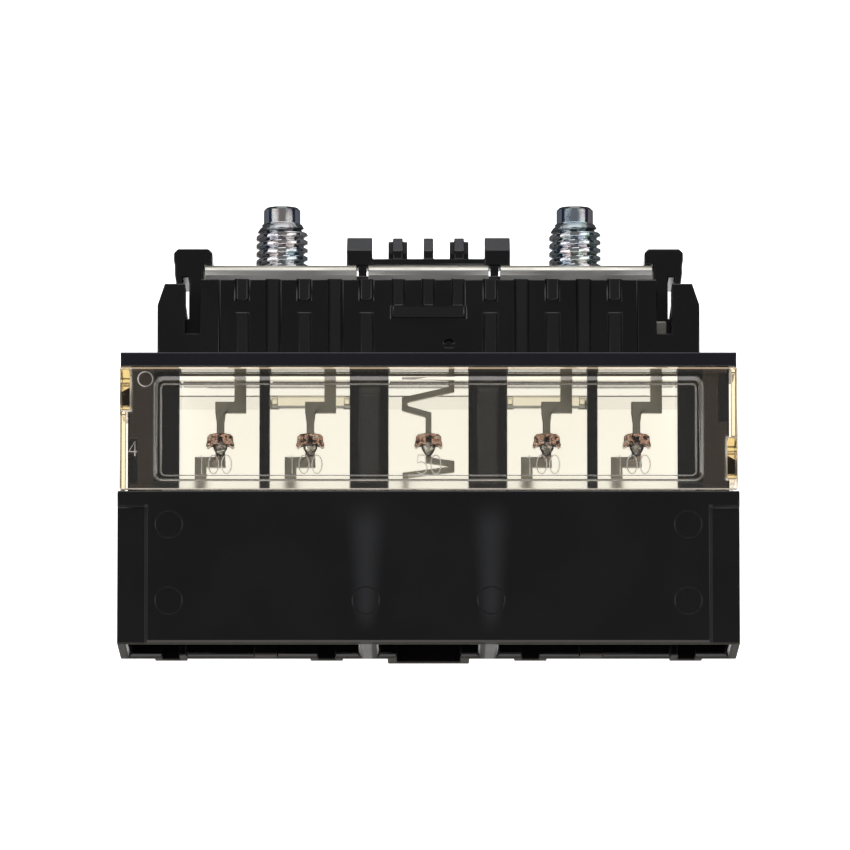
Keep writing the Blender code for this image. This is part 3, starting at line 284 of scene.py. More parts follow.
def edgeLight(tree, engraved, across, height, face):
    # light that travels inside the sheet and leaves it at the edges and the engraved strokes is painted on as
    # a glow
    look = coverLook
    edge = addNode(tree, "ShaderNodeAttribute", attribute_name="litEdge").outputs["Fac"]
    seam = product(tree, isOver(tree, height, look["seam"]), face)
    foot = isUnder(tree, height, look["foot"])
    glow = blended(tree, seam, blended(tree, foot, look["litEdge"], look["litFoot"]), look["litSeam"])
    margin = product(tree, between(tree, across, *look["margin"]), face)
    dark = blended(tree, margin, (0.0, 0.0, 0.0), look["litMargin"])
    glow = blended(tree, calculate(tree, "MAXIMUM", edge, seam), dark, glow)
    onPad = isOver(tree, across, look["padStroke"])
    return blended(tree, engraved, glow, blended(tree, onPad, look["litStroke"], look["litPad"]))


def makeClearAmber():
    look = coverLook
    material, tree, shader, place, grain = startMaterial(
        "clearAmber", look, IOR=look["index"], Transmission_Weight=1.0, Emission_Strength=1.0)
    axes = separated(tree, place)
    across = calculate(tree, "ABSOLUTE", axes["X"])
    height = calculate(tree, "SUBTRACT", axes["Y"], rimY)
    face = isOver(tree, axes["Z"], look["face"])
    engraved = addNode(tree, "ShaderNodeAttribute", attribute_name="engraved").outputs["Fac"]
    tint = blended(tree, grain["Clouds"], look["tint"], look["warm"])
    tint = blended(tree, engraved, tint, look["stroke"])
    # the border's upper slope is painted dark, a painted shade, and the strip under it hazy
    for band, shade in (("shade", "shadeTint"), ("haze", "hazeTint")):
        mask = product(tree, between(tree, height, *look[band]), face)
        tint = blended(tree, mask, tint, look[shade])
    # the rear cover's legs and tongues are left matt
    legs = product(tree, between(tree, height, *look["legs"]), between(tree, axes["Z"], *look["legDepth"]))
    tint = blended(tree, legs, tint, look["legTint"])
    tint = blended(tree, isOver(tree, across, look["arms"]), tint, look["armTint"])
    tree.links.new(tint, shader.inputs["Base Color"])
    # the margins below and beside the front cover's border are frosted, apart from the two sunk pads
    frost = product(tree, isUnder(tree, height, look["frostTop"]), isUnder(tree, across, look["margin"][1]))
    frost = calculate(tree, "MAXIMUM", frost, between(tree, across, *look["margin"]))
    frost = calculate(tree, "MAXIMUM", product(tree, frost, face), legs)
    rough = calculate(tree, "ADD", varied(tree, grain["Clouds"], look), product(tree, frost, look["frost"]))
    tree.links.new(rough, shader.inputs["Roughness"])
    addBump(tree, shader, grain["Clouds"], *look["bump"])
    tree.links.new(edgeLight(tree, engraved, across, height, face), shader.inputs["Emission Color"])
    body = {"Color": (*look["body"], 1.0), "Density": look["density"]}
    inside = addNode(tree, "ShaderNodeVolumeAbsorption", body)
    tree.links.new(inside.outputs["Volume"], tree.nodes["Material Output"].inputs["Volume"])
    return material


tinLook = {
    "tin": (0.63, 0.605, 0.53), "worn": (0.53, 0.51, 0.44), "smooth": 0.3, "rough": 0.46,
    "grain": 3000.0, "clouds": 160.0, "bump": (0.2, 0.008 * mm),
    "flank": (0.36, 0.352, 0.335), "flankHeight": (54.0 * mm, 58.66 * mm), "flankFront": 16.9 * mm,
    "copper": (0.82, 0.50, 0.38), "burnt": (0.07, 0.04, 0.03), "blotches": {"Scale": 1500.0, "Detail": 3.0},
    "bareFrom": (0.36, 0.46), "burntFrom": (0.5, 0.66), "clawTop": (33.0 * mm, 33.5 * mm),
    "clawRough": 0.4, "crush": 0.5 * mm,
}


def makeTinnedCopper():
    look = tinLook
    material, tree, shader, place, grain = startMaterial("tinnedCopper", look, Metallic=1.0)
    axes = separated(tree, place)
    height = calculate(tree, "SUBTRACT", axes["Y"], rimY)
    colour = blended(tree, grain["Clouds"], look["tin"], look["worn"])
    # the plates' front flanks are painted darker than their tops, a painted shade
    flank = between(tree, height, *look["flankHeight"])
    flank = product(tree, flank, isOver(tree, axes["Z"], look["flankFront"]))
    colour = blended(tree, flank, colour, look["flank"])
    # heat and crimping bare the copper at the claws, in blotches
    bare = addNode(tree, "ShaderNodeAttribute", attribute_name="bareCopper").outputs["Fac"]
    bare = product(tree, bare, fading(tree, height, *look["clawTop"]))
    noise = addNode(tree, "ShaderNodeTexNoise", look["blotches"])
    tree.links.new(place, noise.inputs["Vector"])
    blotches = noise.outputs["Fac"]
    copper = blended(tree, mapped(tree, blotches, *look["burntFrom"]), look["copper"], look["burnt"])
    colour = blended(tree, product(tree, bare, mapped(tree, blotches, *look["bareFrom"])), colour, copper)
    tree.links.new(colour, shader.inputs["Base Color"])
    rough = varied(tree, grain["Clouds"], look)
    rough = product(tree, rough, mapped(tree, bare, 0.0, 1.0, 1.0, look["clawRough"]))
    tree.links.new(rough, shader.inputs["Roughness"])
    crushed = addNode(tree, "ShaderNodeBump", {"Distance": look["crush"]})
    tree.links.new(bare, crushed.inputs["Strength"])
    tree.links.new(blotches, crushed.inputs["Height"])
    addBump(tree, shader, grain["Grain"], *look["bump"], crushed.outputs["Normal"])
    return material


zincLook = {
    "blue": (0.52, 0.60, 0.68), "rose": (0.70, 0.63, 0.63), "green": (0.48, 0.63, 0.57),
    "dark": (0.13, 0.14, 0.14), "smooth": 0.06, "rough": 0.15,
    "grain": 5200.0, "clouds": 260.0, "bump": (0.1, 0.004 * mm),
    "film": {"Scale": 190.0, "Detail": 1.0, "Distortion": 0.6}, "filmEnds": (0.34, 0.62),
    "greenFrom": (20.0 * mm, 24.0 * mm), "greenShare": (0.25, 0.7), "greenClouds": (0.2, 0.8),
    "tip": 69.07 * mm, "collar": (65.6 * mm, 66.95 * mm), "collarShade": 0.75,
}


def makeZincPlate():
    look = zincLook
    material, tree, shader, place, grain = startMaterial("zincPlate", look, Metallic=1.0)
    film = addNode(tree, "ShaderNodeTexNoise", look["film"])
    tree.links.new(place, film.inputs["Vector"])
    colour = blended(tree, mapped(tree, film.outputs["Fac"], *look["filmEnds"]), look["blue"], look["rose"])
    # the passivation turns greener on the right stud
    axes = separated(tree, place)
    green = mapped(tree, axes["X"], *look["greenFrom"], *look["greenShare"])
    green = product(tree, green, mapped(tree, grain["Clouds"], *look["greenClouds"]))
    colour = blended(tree, green, colour, look["green"])
    # the tip's chamfer and the collar under the dog point are painted darker, a painted shade that dims their
    # reflections
    height = calculate(tree, "SUBTRACT", axes["Y"], rimY)
    collar = product(tree, between(tree, height, *look["collar"]), look["collarShade"])
    paintedShade = calculate(tree, "MAXIMUM", isOver(tree, height, look["tip"]), collar)
    colour = blended(tree, paintedShade, colour, look["dark"])
    tree.links.new(colour, shader.inputs["Base Color"])
    tree.links.new(varied(tree, grain["Clouds"], look), shader.inputs["Roughness"])
    addBump(tree, shader, grain["Grain"], *look["bump"])
    return material


slugLook = {"bright": (0.92, 0.90, 0.86), "dull": (0.38, 0.33, 0.28), "smooth": 0.1, "rough": 0.28,
            "grain": 2400.0, "clouds": 1100.0, "bump": (0.7, 0.16 * mm)}


def makeTinSlug():
    look = slugLook
    material, tree, shader, place, grain = startMaterial("tinSlug", look, Metallic=1.0)
    tree.links.new(blended(tree, grain["Clouds"], look["bright"], look["dull"]), shader.inputs["Base Color"])
    tree.links.new(varied(tree, grain["Grain"], look), shader.inputs["Roughness"])
    addBump(tree, shader, grain["Clouds"], *look["bump"])
    return material


blackPlastic = makeBlackPlastic()
clearAmber = makeClearAmber()
tinnedCopper = makeTinnedCopper()
zincPlate = makeZincPlate()
tinSlug = makeTinSlug()
print("materials made")

rounding = {
    "housing": 0.16 * mm, "cover": 0.14 * mm, "bar": 0.1 * mm, "segments": 2,
    "reach": 4, "share": 0.42,      # how far faces are looked at for room, and how much of it is used
    "flat": math.radians(0.5), "gentle": math.radians(1), "sharp": math.radians(25), "crease": 50.0,
    "bendShare": 4, "weld": 0.002 * mm, "touching": 0.001 * mm,
}


def cleanCopy(nodeName):
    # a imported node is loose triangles: weld them
    shape = bmesh.new()
    shape.from_mesh(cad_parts[nodeName].data)
    bmesh.ops.remove_doubles(shape, verts=shape.verts, dist=rounding["weld"])
    return shape


def flatRegions(shape):
    # groups of faces that lie in one plane, with the area of each group
    region = {}
    areas = []
    for start in shape.faces:
        if start in region:
            continue
        region[start] = len(areas)
        waiting = [start]
        area = 0.0
        while waiting:
            face = waiting.pop()
            area += face.calc_area()
            for edge in face.edges:
                for other in edge.link_faces:
                    if other not in region and edge.calc_face_angle(math.pi) < rounding["flat"]:
                        region[other] = len(areas)
                        waiting.append(other)
        areas.append(area)
    return region, areas


def markBends(shape):
    # the second material slot marks the faces of gentle bends, which are shaded smooth
    region, areas = flatRegions(shape)
    bends = set()
    for edge in shape.edges:
        angle = edge.calc_face_angle(0.0)
        if len(edge.link_faces) != 2 or not rounding["gentle"] < angle < rounding["sharp"]:
            continue
        first, second = (region[face] for face in edge.link_faces)
        for one, other in ((first, second), (second, first)):
            if areas[one] < rounding["bendShare"] * areas[other]:
                bends.add(one)
    for face in shape.faces:
        face.material_index = 1 if region[face] in bends else 0


def weighEdges(shape, width):
    # an edge is rounded by as much as its faces have room for
    weights = shape.edges.layers.float.new("bevel_weight_edge")
    for edge in shape.edges:
        if len(edge.link_faces) != 2 or edge.calc_face_angle(0.0) < rounding["sharp"]:
            continue
        start, end = (vert.co for vert in edge.verts)
        length = (end - start).length
        along = (end - start) / length
        room = width * rounding["reach"]
        for face in edge.link_faces:
            for vert in face.verts:
                offset = vert.co - start
                share = offset.dot(along)
                distance = (offset - along * share).length
                if distance > rounding["touching"] and -width < share < length + width:
                    room = min(room, distance)
        edge[weights] = min(1.0, rounding["share"] * room / width)


def finished(name, shape, material, tools=()):
    # the bmesh becomes a plain mesh object at the origin, with the modifiers in tools applied
    mesh = bpy.data.meshes.new(name)
    shape.to_mesh(mesh)
    shape.free()
    mesh.materials.append(material)
    mesh.materials.append(material)
    return settled(bpy.data.objects.new(name, mesh), material, tools)


def settled(piece, material, tools=()):
    if piece.name not in bpy.context.scene.collection.objects:
        bpy.context.scene.collection.objects.link(piece)
    for kind, settings in tools:
        modifier = piece.modifiers.new(kind, kind)
        for key, value in settings.items():
            setattr(modifier, key, value)
    graph = bpy.context.evaluated_depsgraph_get()
    mesh = bpy.data.meshes.new_from_object(piece.evaluated_get(graph))
    piece.modifiers.clear()
    piece.data = mesh
    if len(mesh.materials) > 1:
        mesh.polygons.foreach_set("use_smooth", [face.material_index > 0 for face in mesh.polygons])
    mesh.materials.clear()
    mesh.materials.append(material)
    mesh.polygons.foreach_set("material_index", [0] * len(mesh.polygons))
    return piece


def creased(piece, angle=rounding["crease"]):
    # setting the sharp edges makes every face smooth, so the flat faces are set again
    flags = [face.use_smooth for face in piece.data.polygons]
    piece.data.set_sharp_from_angle(angle=math.radians(angle))
    piece.data.polygons.foreach_set("use_smooth", flags)
    return piece


def keptInside(piece):
    # no rounded edge or pressed form reaches past the part's own box
    for vert in piece.data.vertices:
        vert.co = [min(max(place, low), high) for place, low, high in zip(vert.co, *cadBox)]


def openEdges(piece):
    shape = bmesh.new()
    shape.from_mesh(piece.data)
    count = sum(1 for edge in shape.edges if len(edge.link_faces) != 2)
    shape.free()
    return count


def roundedCopy(name, nodeName, material, width, reshape):
    shape = cleanCopy(nodeName)
    reshape(shape)
    markBends(shape)
    weighEdges(shape, width)
    bevel = {"limit_method": "WEIGHT", "width": width, "segments": rounding["segments"],
             "use_clamp_overlap": False, "material": 1}
    return finished(name, shape, material, [("BEVEL", bevel)])


def combined(piece, tool, operation, crossed=False):
    # cuts the tool out of the piece or joins it on; a crossed tool runs through itself
    settings = {"operation": operation, "solver": "EXACT", "use_self": crossed, "object": tool}
    settled(piece, piece.data.materials[0], [("BOOLEAN", settings)])
    bpy.data.objects.remove(tool)


def addBlock(shape, low, high):
    made = bmesh.ops.create_cube(shape, size=1.0)
    centre = (Vector(low) + Vector(high)) / 2
    matrix = Matrix.LocRotScale(centre, None, Vector(high) - Vector(low))
    bmesh.ops.transform(shape, matrix=matrix, verts=made["verts"])


def poleBlocks(name, places, size, material):
    # the same block across each of the poles in places
    shape = bmesh.new()
    low, high = size["height"]
    back, front = size["depth"]
    for pole in places:
        addBlock(shape, (pole - size["half"], rimY + low, back), (pole + size["half"], rimY + high, front))
    return finished(name, shape, material)


def turns(steps):
    return [2 * math.pi * step / steps for step in range(steps)]


def addRing(shape, x, y, z, wide, deep, steps):
    # an oval of corners around a place, level in Y
    return [shape.verts.new((x + wide * math.sin(angle), y, z + deep * math.cos(angle)))
            for angle in turns(steps)]


def skinRings(shape, rings):
    # faces from ring to ring, and a cap at each end
    for first, second in zip(rings, rings[1:]):
        for step in range(len(first)):
            after = (step + 1) % len(first)
            shape.faces.new((first[step], first[after], second[after], second[step]))
    shape.faces.new(list(reversed(rings[0])))
    shape.faces.new(rings[-1])
    bmesh.ops.recalc_face_normals(shape, faces=shape.faces)


def geometryTree(name, sizes):
    # a tree with a named input for each size and one for the material
    tree = bpy.data.node_groups.new(name, "GeometryNodeTree")
    tree.interface.new_socket(name="Geometry", in_out="OUTPUT", socket_type="NodeSocketGeometry")
    tree.interface.new_socket(name="Geometry", in_out="INPUT", socket_type="NodeSocketGeometry")
    for size in sizes:
        tree.interface.new_socket(name=size, in_out="INPUT", socket_type="NodeSocketFloat")
    tree.interface.new_socket(name="Finish", in_out="INPUT", socket_type="NodeSocketMaterial")
    return tree, addNode(tree, "NodeGroupInput"), addNode(tree, "NodeGroupOutput")


def swept(tree, curve, radius, sides, caps):
    # a round section along each curve
    section = addNode(tree, "GeometryNodeCurvePrimitiveCircle", {"Resolution": sides})
    tube = addNode(tree, "GeometryNodeCurveToMesh", {"Fill Caps": caps})
    tree.links.new(radius, section.inputs["Radius"])
    tree.links.new(curve, tube.inputs["Curve"])
    tree.links.new(section.outputs["Curve"], tube.inputs["Profile Curve"])
    return tube.outputs["Mesh"]


def closeTree(tree, given, result, geometry):
    realised = addNode(tree, "GeometryNodeRealizeInstances")
    painted = addNode(tree, "GeometryNodeSetMaterial")
    tree.links.new(geometry, realised.inputs["Geometry"])
    tree.links.new(realised.outputs["Geometry"], painted.inputs["Geometry"])
    tree.links.new(given.outputs["Finish"], painted.inputs["Material"])
    tree.links.new(painted.outputs["Geometry"], result.inputs["Geometry"])
    return tree


def grown(name, mesh, tree, values):
    # runs a geometry tree on a mesh, with its inputs set by their identifiers, and keeps the plain result
    piece = bpy.data.objects.new(name, mesh)
    modifier = piece.modifiers.new(tree.name, "NODES")
    modifier.node_group = tree
    for item in tree.interface.items_tree:
        if item.in_out == "INPUT" and item.name in values:
            modifier[item.identifier] = values[item.name]
    bpy.context.scene.collection.objects.link(piece)
    return settled(piece, values["Finish"])


ejectorMarks = {"radius": 2.05 * mm, "groove": 0.085 * mm, "steps": 40, "sides": 8}
windows = {"half": 6.05 * mm, "aside": 0.1 * mm, "cadTop": 41.8 * mm, "top": 42.27 * mm,
           "depth": (8.0 * mm, 25.0 * mm)}


def openWindows(shape):
    # the thin band over each fuse window is cut back to just below the rail
    back, front = windows["depth"]
    for vert in shape.verts:
        nearWindow = min(abs(vert.co.x - pole) for pole in poles) < windows["half"] + windows["aside"]
        atTop = abs(vert.co.y - rimY - windows["cadTop"]) < near
        if nearWindow and atTop and back < vert.co.z < front:
            vert.co.y = rimY + windows["top"]


def makeRingTree():
    # a ring at each point, for the marks that the mould's ejector pins leave
    tree, given, result = geometryTree("ejectorRings", ("Radius", "Groove"))
    ring = addNode(tree, "GeometryNodeCurvePrimitiveCircle", {"Resolution": ejectorMarks["steps"]})
    tree.links.new(given.outputs["Radius"], ring.inputs["Radius"])
    groove = swept(tree, ring.outputs["Curve"], given.outputs["Groove"], ejectorMarks["sides"], False)
    placed = addNode(tree, "GeometryNodeInstanceOnPoints")
    tree.links.new(given.outputs["Geometry"], placed.inputs["Points"])
    tree.links.new(groove, placed.inputs["Instance"])
    return closeTree(tree, given, result, placed.outputs["Instances"])


def makeHousing():
    housing = roundedCopy("housingMoulding", "housing", blackPlastic, rounding["housing"], openWindows)
    points = [(side * x, rimY + y, frontZ) for side in (-1, 1) for x, y in ejectorPlaces]
    mesh = bpy.data.meshes.new("ringPlaces")
    mesh.from_pydata(points, [], [])
    values = {"Radius": ejectorMarks["radius"], "Groove": ejectorMarks["groove"], "Finish": blackPlastic}
    combined(housing, grown("rings", mesh, makeRingTree(), values), "DIFFERENCE")
    return creased(housing)


coverFace = frontZ - 0.4 * mm      # the front cover's own face, inside its raised border
numbers = {"height": 2.85 * mm, "stroke": 0.095 * mm, "sides": 8, "base": 25.95 * mm,
           "texts": ("100", "100", "50", "100", "100"),
           "places": {"100": (-2.65 * mm, -0.86 * mm, 1.10 * mm), "50": (-1.0 * mm, 1.12 * mm)}}
inserts = {"pads": ((-45.5, -44.1, 24.4, 31.3), (43.9, 45.3, 33.9, 41.3)),      # left, right, low, high in mm
           "sunk": 0.12 * mm, "padNumber": "4", "padNumberPlace": (-44.8 * mm, 28.7 * mm),
           "padNumberHeight": 2.2 * mm, "mark": (-42.94 * mm, 40.45 * mm), "markRadius": 1.12 * mm,
           "markSteps": 36}
digitStrokes = {      # a digit's line from its foot to one unit up, and whether the line is closed
    "0": ([(0.27 * math.cos(angle), 0.5 + 0.5 * math.sin(angle)) for angle in turns(16)], True),
    "1": ([(-0.14, 0.84), (0.0, 1.0), (0.0, 0.0)], False),
    "4": ([(0.14, 0.0), (0.14, 1.0), (-0.28, 0.3), (0.3, 0.3)], False),
    "5": ([(0.24, 1.0), (-0.2, 1.0), (-0.23, 0.58), (-0.05, 0.64), (0.14, 0.58), (0.26, 0.42), (0.27, 0.24),
           (0.16, 0.06), (0.0, 0.0), (-0.16, 0.03), (-0.28, 0.13)], False),
}


def makeStrokeTree():
    # a round stroke along each line, for engraved numbers
    tree, given, result = geometryTree("strokedNumbers", ("Stroke",))
    lines = addNode(tree, "GeometryNodeMeshToCurve")
    tree.links.new(given.outputs["Geometry"], lines.inputs["Mesh"])
    strokes = swept(tree, lines.outputs["Curve"], given.outputs["Stroke"], numbers["sides"], True)
    return closeTree(tree, given, result, strokes)


def addStroke(points, edges, line, closed):
    start = len(points)
    points.extend(line)
    edges.extend((start + k, start + k + 1) for k in range(len(line) - 1))
    if closed:
        edges.append((start + len(line) - 1, start))


def writeNumber(points, edges, text, places, base, height, level):
    for digit, left in zip(text, places):
        line, closed = digitStrokes[digit]
        place = [(left + x * height, base + y * height, level) for x, y in line]
        addStroke(points, edges, place, closed)


def numberLines():
    # the lines of the five numbers, the digit on the left pad and the round mark
    points = []
    edges = []
    for pole, text in zip(poles, numbers["texts"]):
        places = [pole + place for place in numbers["places"][text]]
        writeNumber(points, edges, text, places, rimY + numbers["base"], numbers["height"], coverFace)
    x, y = inserts["padNumberPlace"]
    padFace = coverFace - inserts["sunk"]
    writeNumber(points, edges, inserts["padNumber"], [x], rimY + y, inserts["padNumberHeight"], padFace)
    x, y = inserts["mark"]
    radius = inserts["markRadius"]
    ring = [(x + radius * math.cos(angle), rimY + y + radius * math.sin(angle), coverFace)
            for angle in turns(inserts["markSteps"])]
    addStroke(points, edges, ring, True)
    mesh = bpy.data.meshes.new("numberLines")
    mesh.from_pydata(points, edges, [])
    return mesh


def sunkPads():
    # two changeable inserts of the mould leave flat pads, sunk a little into the cover's face
    shape = bmesh.new()
    for left, right, low, high in inserts["pads"]:
        addBlock(shape, (left * mm, rimY + low * mm, coverFace - inserts["sunk"]),
                 (right * mm, rimY + high * mm, coverFace + inserts["sunk"]))
    return finished("pads", shape, clearAmber)


border = {"half": 41.6 * mm, "low": 24.87 * mm, "high": 40.83 * mm, "corner": 1.4 * mm, "width": 1.1 * mm,
          "slope": 0.62 * mm, "footSlope": 0.1 * mm, "footFrom": 0.3 * mm}
coverTop = {"height": 42.1 * mm, "back": 20.0 * mm, "lift": 0.2 * mm}
rearField = {"drop": 0.38 * mm, "band": 1.5 * mm, "legShift": 0.22 * mm}
tongues = {"half": 5.2 * mm, "height": (38.42 * mm, 39.98 * mm), "depth": (7.5 * mm, 11.2 * mm)}
strokeField = {"half": 46.4 * mm, "height": (24.2 * mm, 41.6 * mm), "depth": (0.004 * mm, 0.3 * mm),
               "flat": 0.985}


def slopeBorder(shape):
    # the outer side of the front cover's raised border slopes, and the cover's top meets the rail
    half = border["half"] - border["corner"]
    low = border["low"] + border["corner"]
    high = border["high"] - border["corner"]
    for vert in shape.verts:
        x, y = vert.co.x, vert.co.y - rimY
        if y > coverTop["height"] - near and vert.co.z > coverTop["back"]:
            vert.co.y += coverTop["lift"]
        if vert.co.z < frontZ - near:
            continue
        away = Vector((x - min(max(x, -half), half), y - min(max(y, low), high)))
        if away.length > border["width"]:
            slope = border["footSlope"] if away.y < -border["footFrom"] else border["slope"]
            away = away.normalized() * slope
            vert.co.x -= away.x
            vert.co.y -= away.y


def dropField(shape):
    # the rear cover's raised field ends a little lower, and its legs stand close to the window walls
    low, high = coverLook["legs"]
    back, front = coverLook["legDepth"]
    for vert in shape.verts:
        pole = min(poles, key=lambda place: abs(vert.co.x - place))
        if back < vert.co.z < front and low < vert.co.y - rimY < high:
            vert.co.x += math.copysign(rearField["legShift"], vert.co.x - pole)
        if border["high"] - rearField["band"] < vert.co.y - rimY < border["high"] + near:
            vert.co.y -= rearField["drop"]


def paintEdges(piece):
    # marks the slanting faces, where light leaves the clear sheet, and the engraved strokes among them
    low, high = strokeField["height"]
    shallow, deep = strokeField["depth"]
    slanting = []
    engraved = []
    for face in piece.data.polygons:
        slants = max(abs(part) for part in face.normal) < strokeField["flat"]
        x, y, z = face.center
        inField = abs(x) < strokeField["half"] and low < y - rimY < high
        inStroke = inField and coverFace - deep < z < coverFace - shallow
        slanting.append(1.0 if slants else 0.0)
        engraved.append(1.0 if slants and inStroke else 0.0)
    for name, values in (("litEdge", slanting), ("engraved", engraved)):
        piece.data.attributes.new(name, "FLOAT", "FACE").data.foreach_set("value", values)


def makeCovers():
    front = roundedCopy("frontCover", "front_window", clearAmber, rounding["cover"], slopeBorder)
    rear = roundedCopy("rearCover", "rear_window", clearAmber, rounding["cover"], dropField)
    values = {"Stroke": numbers["stroke"], "Finish": clearAmber}
    strokes = grown("strokes", numberLines(), makeStrokeTree(), values)
    combined(front, sunkPads(), "DIFFERENCE")
    combined(front, strokes, "DIFFERENCE", crossed=True)
    # a tongue of the rear cover reaches into windows 2 and 4, between its two legs there
    combined(rear, poleBlocks("tongues", poles[1::2], tongues, clearAmber), "UNION")
    paintEdges(front)
    return creased(front), creased(rear)


plateBend = {"y": 57.8 * mm, "z": 15.4 * mm, "radius": 1.6 * mm, "edge": 58.62 * mm, "flat": 16.15 * mm,
             "outside": 0.01 * mm, "onArc": 0.03 * mm, "split": 50.0, "frontTurn": 45.0, "topTurn": 30.0}
lips = {"half": windows["half"] - 0.05 * mm, "height": (42.02 * mm, 42.25 * mm),
        "depth": (15.8 * mm, 17.0 * mm)}
claws = {"half": 2.4 * mm, "height": (30.4 * mm, 33.9 * mm)}
bars = (("leftBusBar", "left_bus_bar", poles[:2]), ("centreBusBar", "centre_bus_bar", poles[2:3]),
        ("rightBusBar", "right_bus_bar", poles[3:]))


def coinBend(shape):
    # the bend of a plate is coined to a sharp slope along its front
    y, z, radius = plateBend["y"], plateBend["z"], plateBend["radius"]
    for vert in shape.verts:
        offset = Vector((vert.co.z - z, vert.co.y - rimY - y))
        if min(offset) < -plateBend["outside"] or abs(offset.length - radius) > plateBend["onArc"]:
            continue
        angle = math.degrees(math.atan2(offset.y, offset.x))
        if angle < plateBend["split"]:
            vert.co.z = z + radius
            vert.co.y = rimY + y + (plateBend["edge"] - y) * angle / plateBend["frontTurn"]
        else:
            vert.co.y = rimY + y + radius
            vert.co.z = z + (plateBend["flat"] - z) * (90 - angle) / plateBend["topTurn"]


def makeBusBars():
    made = []
    low, high = claws["height"]
    for name, nodeName, barPoles in bars:
        bar = roundedCopy(name, nodeName, tinnedCopper, rounding["bar"], coinBend)
        # the lower edge of the bar shows as a thin lip at the top of each window
        combined(bar, poleBlocks("lips", barPoles, lips, tinnedCopper), "UNION")
        creased(bar)
        bare = bar.data.attributes.new("bareCopper", "FLOAT", "POINT")
        for index, vert in enumerate(bar.data.vertices):
            offset = min(abs(vert.co.x - pole) for pole in poles)
            nearClaw = low < vert.co.y - rimY < high and offset < claws["half"]
            bare.data[index].value = 1.0 if nearClaw else 0.0
        made.append((bar, nodeName))
    return made


stud = {"tip": 10.1 * mm, "dog": 2.85 * mm, "dogLength": 2.6 * mm, "chamfer": 0.4 * mm, "neck": 0.12 * mm,
        "outer": 4.0 * mm, "coreStep": 0.25 * mm, "pitch": 1.25 * mm, "depth": 0.62 * mm, "flank": (0.2, 0.5),
        "runIn": 1.6 * mm, "growth": 1.8, "runOut": 0.4 * mm, "foot": -1.5 * mm, "gap": 0.02 * mm,
        "head": 5.4 * mm, "headFoot": -3.1 * mm, "headChamfer": 0.3 * mm, "rows": 96, "around": 72,
        "crease": 40.0, "places": (-22.5 * mm, 22.5 * mm)}


def studBlank():
    # rows of (radius, height, share of the thread) from the tip down to the head
    dog, foot, head, bevel = stud["dog"], stud["foot"], stud["head"], stud["headChamfer"]
    shoulder = stud["tip"] - stud["dogLength"]
    rows = [(dog - stud["chamfer"], stud["tip"], 0.0), (dog, stud["tip"] - stud["chamfer"], 0.0),
            (dog, shoulder + stud["neck"], 0.0), (dog + stud["neck"], shoulder, 0.0)]
    for index in range(stud["rows"] + 1):
        height = shoulder - stud["gap"] - (shoulder - foot) * index / stud["rows"]
        runIn = min(1.0, (shoulder - height) / stud["runIn"])
        radius = dog + stud["coreStep"] + (stud["outer"] - dog - stud["coreStep"]) * runIn
        rows.append((radius, height, min(1.0, stud["growth"] * runIn, (height - foot) / stud["runOut"])))
    rows += [(head - bevel, foot - stud["gap"], 0.0), (head, foot - bevel, 0.0),
             (head, stud["headFoot"] + bevel, 0.0), (head - bevel, stud["headFoot"], 0.0)]
    return rows


def makeThreadTree():
    # presses a helical groove into a turned blank that stands on its own Y axis
    tree, given, result = geometryTree("helicalThread", ("Pitch", "Depth"))
    place = addNode(tree, "GeometryNodeInputPosition").outputs["Position"]
    axes = separated(tree, place)
    turn = calculate(tree, "DIVIDE", calculate(tree, "ARCTAN2", axes["X"], axes["Z"]), 2 * math.pi)
    phase = calculate(tree, "DIVIDE", axes["Y"], given.outputs["Pitch"])
    phase = calculate(tree, "FRACT", calculate(tree, "SUBTRACT", phase, turn))
    ridge = calculate(tree, "ABSOLUTE", calculate(tree, "SUBTRACT", phase, 0.5))
    share = addNode(tree, "GeometryNodeInputNamedAttribute", {"Name": "threadShare"}, data_type="FLOAT")
    groove = product(tree, mapped(tree, ridge, *stud["flank"]), share.outputs["Attribute"])
    groove = product(tree, groove, given.outputs["Depth"])
    flat = addNode(tree, "ShaderNodeVectorMath", {1: (1.0, 0.0, 1.0)}, operation="MULTIPLY")
    outward = addNode(tree, "ShaderNodeVectorMath", operation="NORMALIZE")
    inward = addNode(tree, "ShaderNodeVectorMath", operation="SCALE")
    moved = addNode(tree, "GeometryNodeSetPosition")
    tree.links.new(place, flat.inputs[0])
    tree.links.new(flat.outputs[0], outward.inputs[0])
    tree.links.new(outward.outputs[0], inward.inputs[0])
    tree.links.new(product(tree, groove, -1.0), inward.inputs["Scale"])
    tree.links.new(given.outputs["Geometry"], moved.inputs["Geometry"])
    tree.links.new(inward.outputs[0], moved.inputs["Offset"])
    return closeTree(tree, given, result, moved.outputs["Geometry"])


def makeStuds():
    tree = makeThreadTree()
    studs = []
    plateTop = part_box("left_stud")[1].y - stud["tip"]
    for name, nodeName, x in zip(("leftStud", "rightStud"), ("left_stud", "right_stud"), stud["places"]):
        shape = bmesh.new()
        share = shape.verts.layers.float.new("threadShare")
        rings = []
        for radius, height, threaded in studBlank():
            ring = addRing(shape, 0.0, height, 0.0, radius, radius, stud["around"])
            for vert in ring:
                vert[share] = threaded
            rings.append(ring)
        skinRings(shape, rings)
        mesh = bpy.data.meshes.new(name)
        shape.to_mesh(mesh)
        shape.free()
        piece = grown(name, mesh, tree, {"Pitch": stud["pitch"], "Depth": stud["depth"], "Finish": zincPlate})
        low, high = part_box(nodeName)
        piece.data.transform(Matrix.Translation((x, plateTop, (low.z + high.z) / 2)))
        piece.data.shade_smooth()
        studs.append((creased(piece, stud["crease"]), nodeName))
    return studs


drop = {"rows": 14, "around": 28, "foot": 0.42 * mm, "belly": 1.08 * mm, "bellyAt": 0.5, "depth": 0.54 * mm,
        "footDepth": 0.55, "bulge": 5, "endSize": 0.08, "gap": 0.02 * mm}


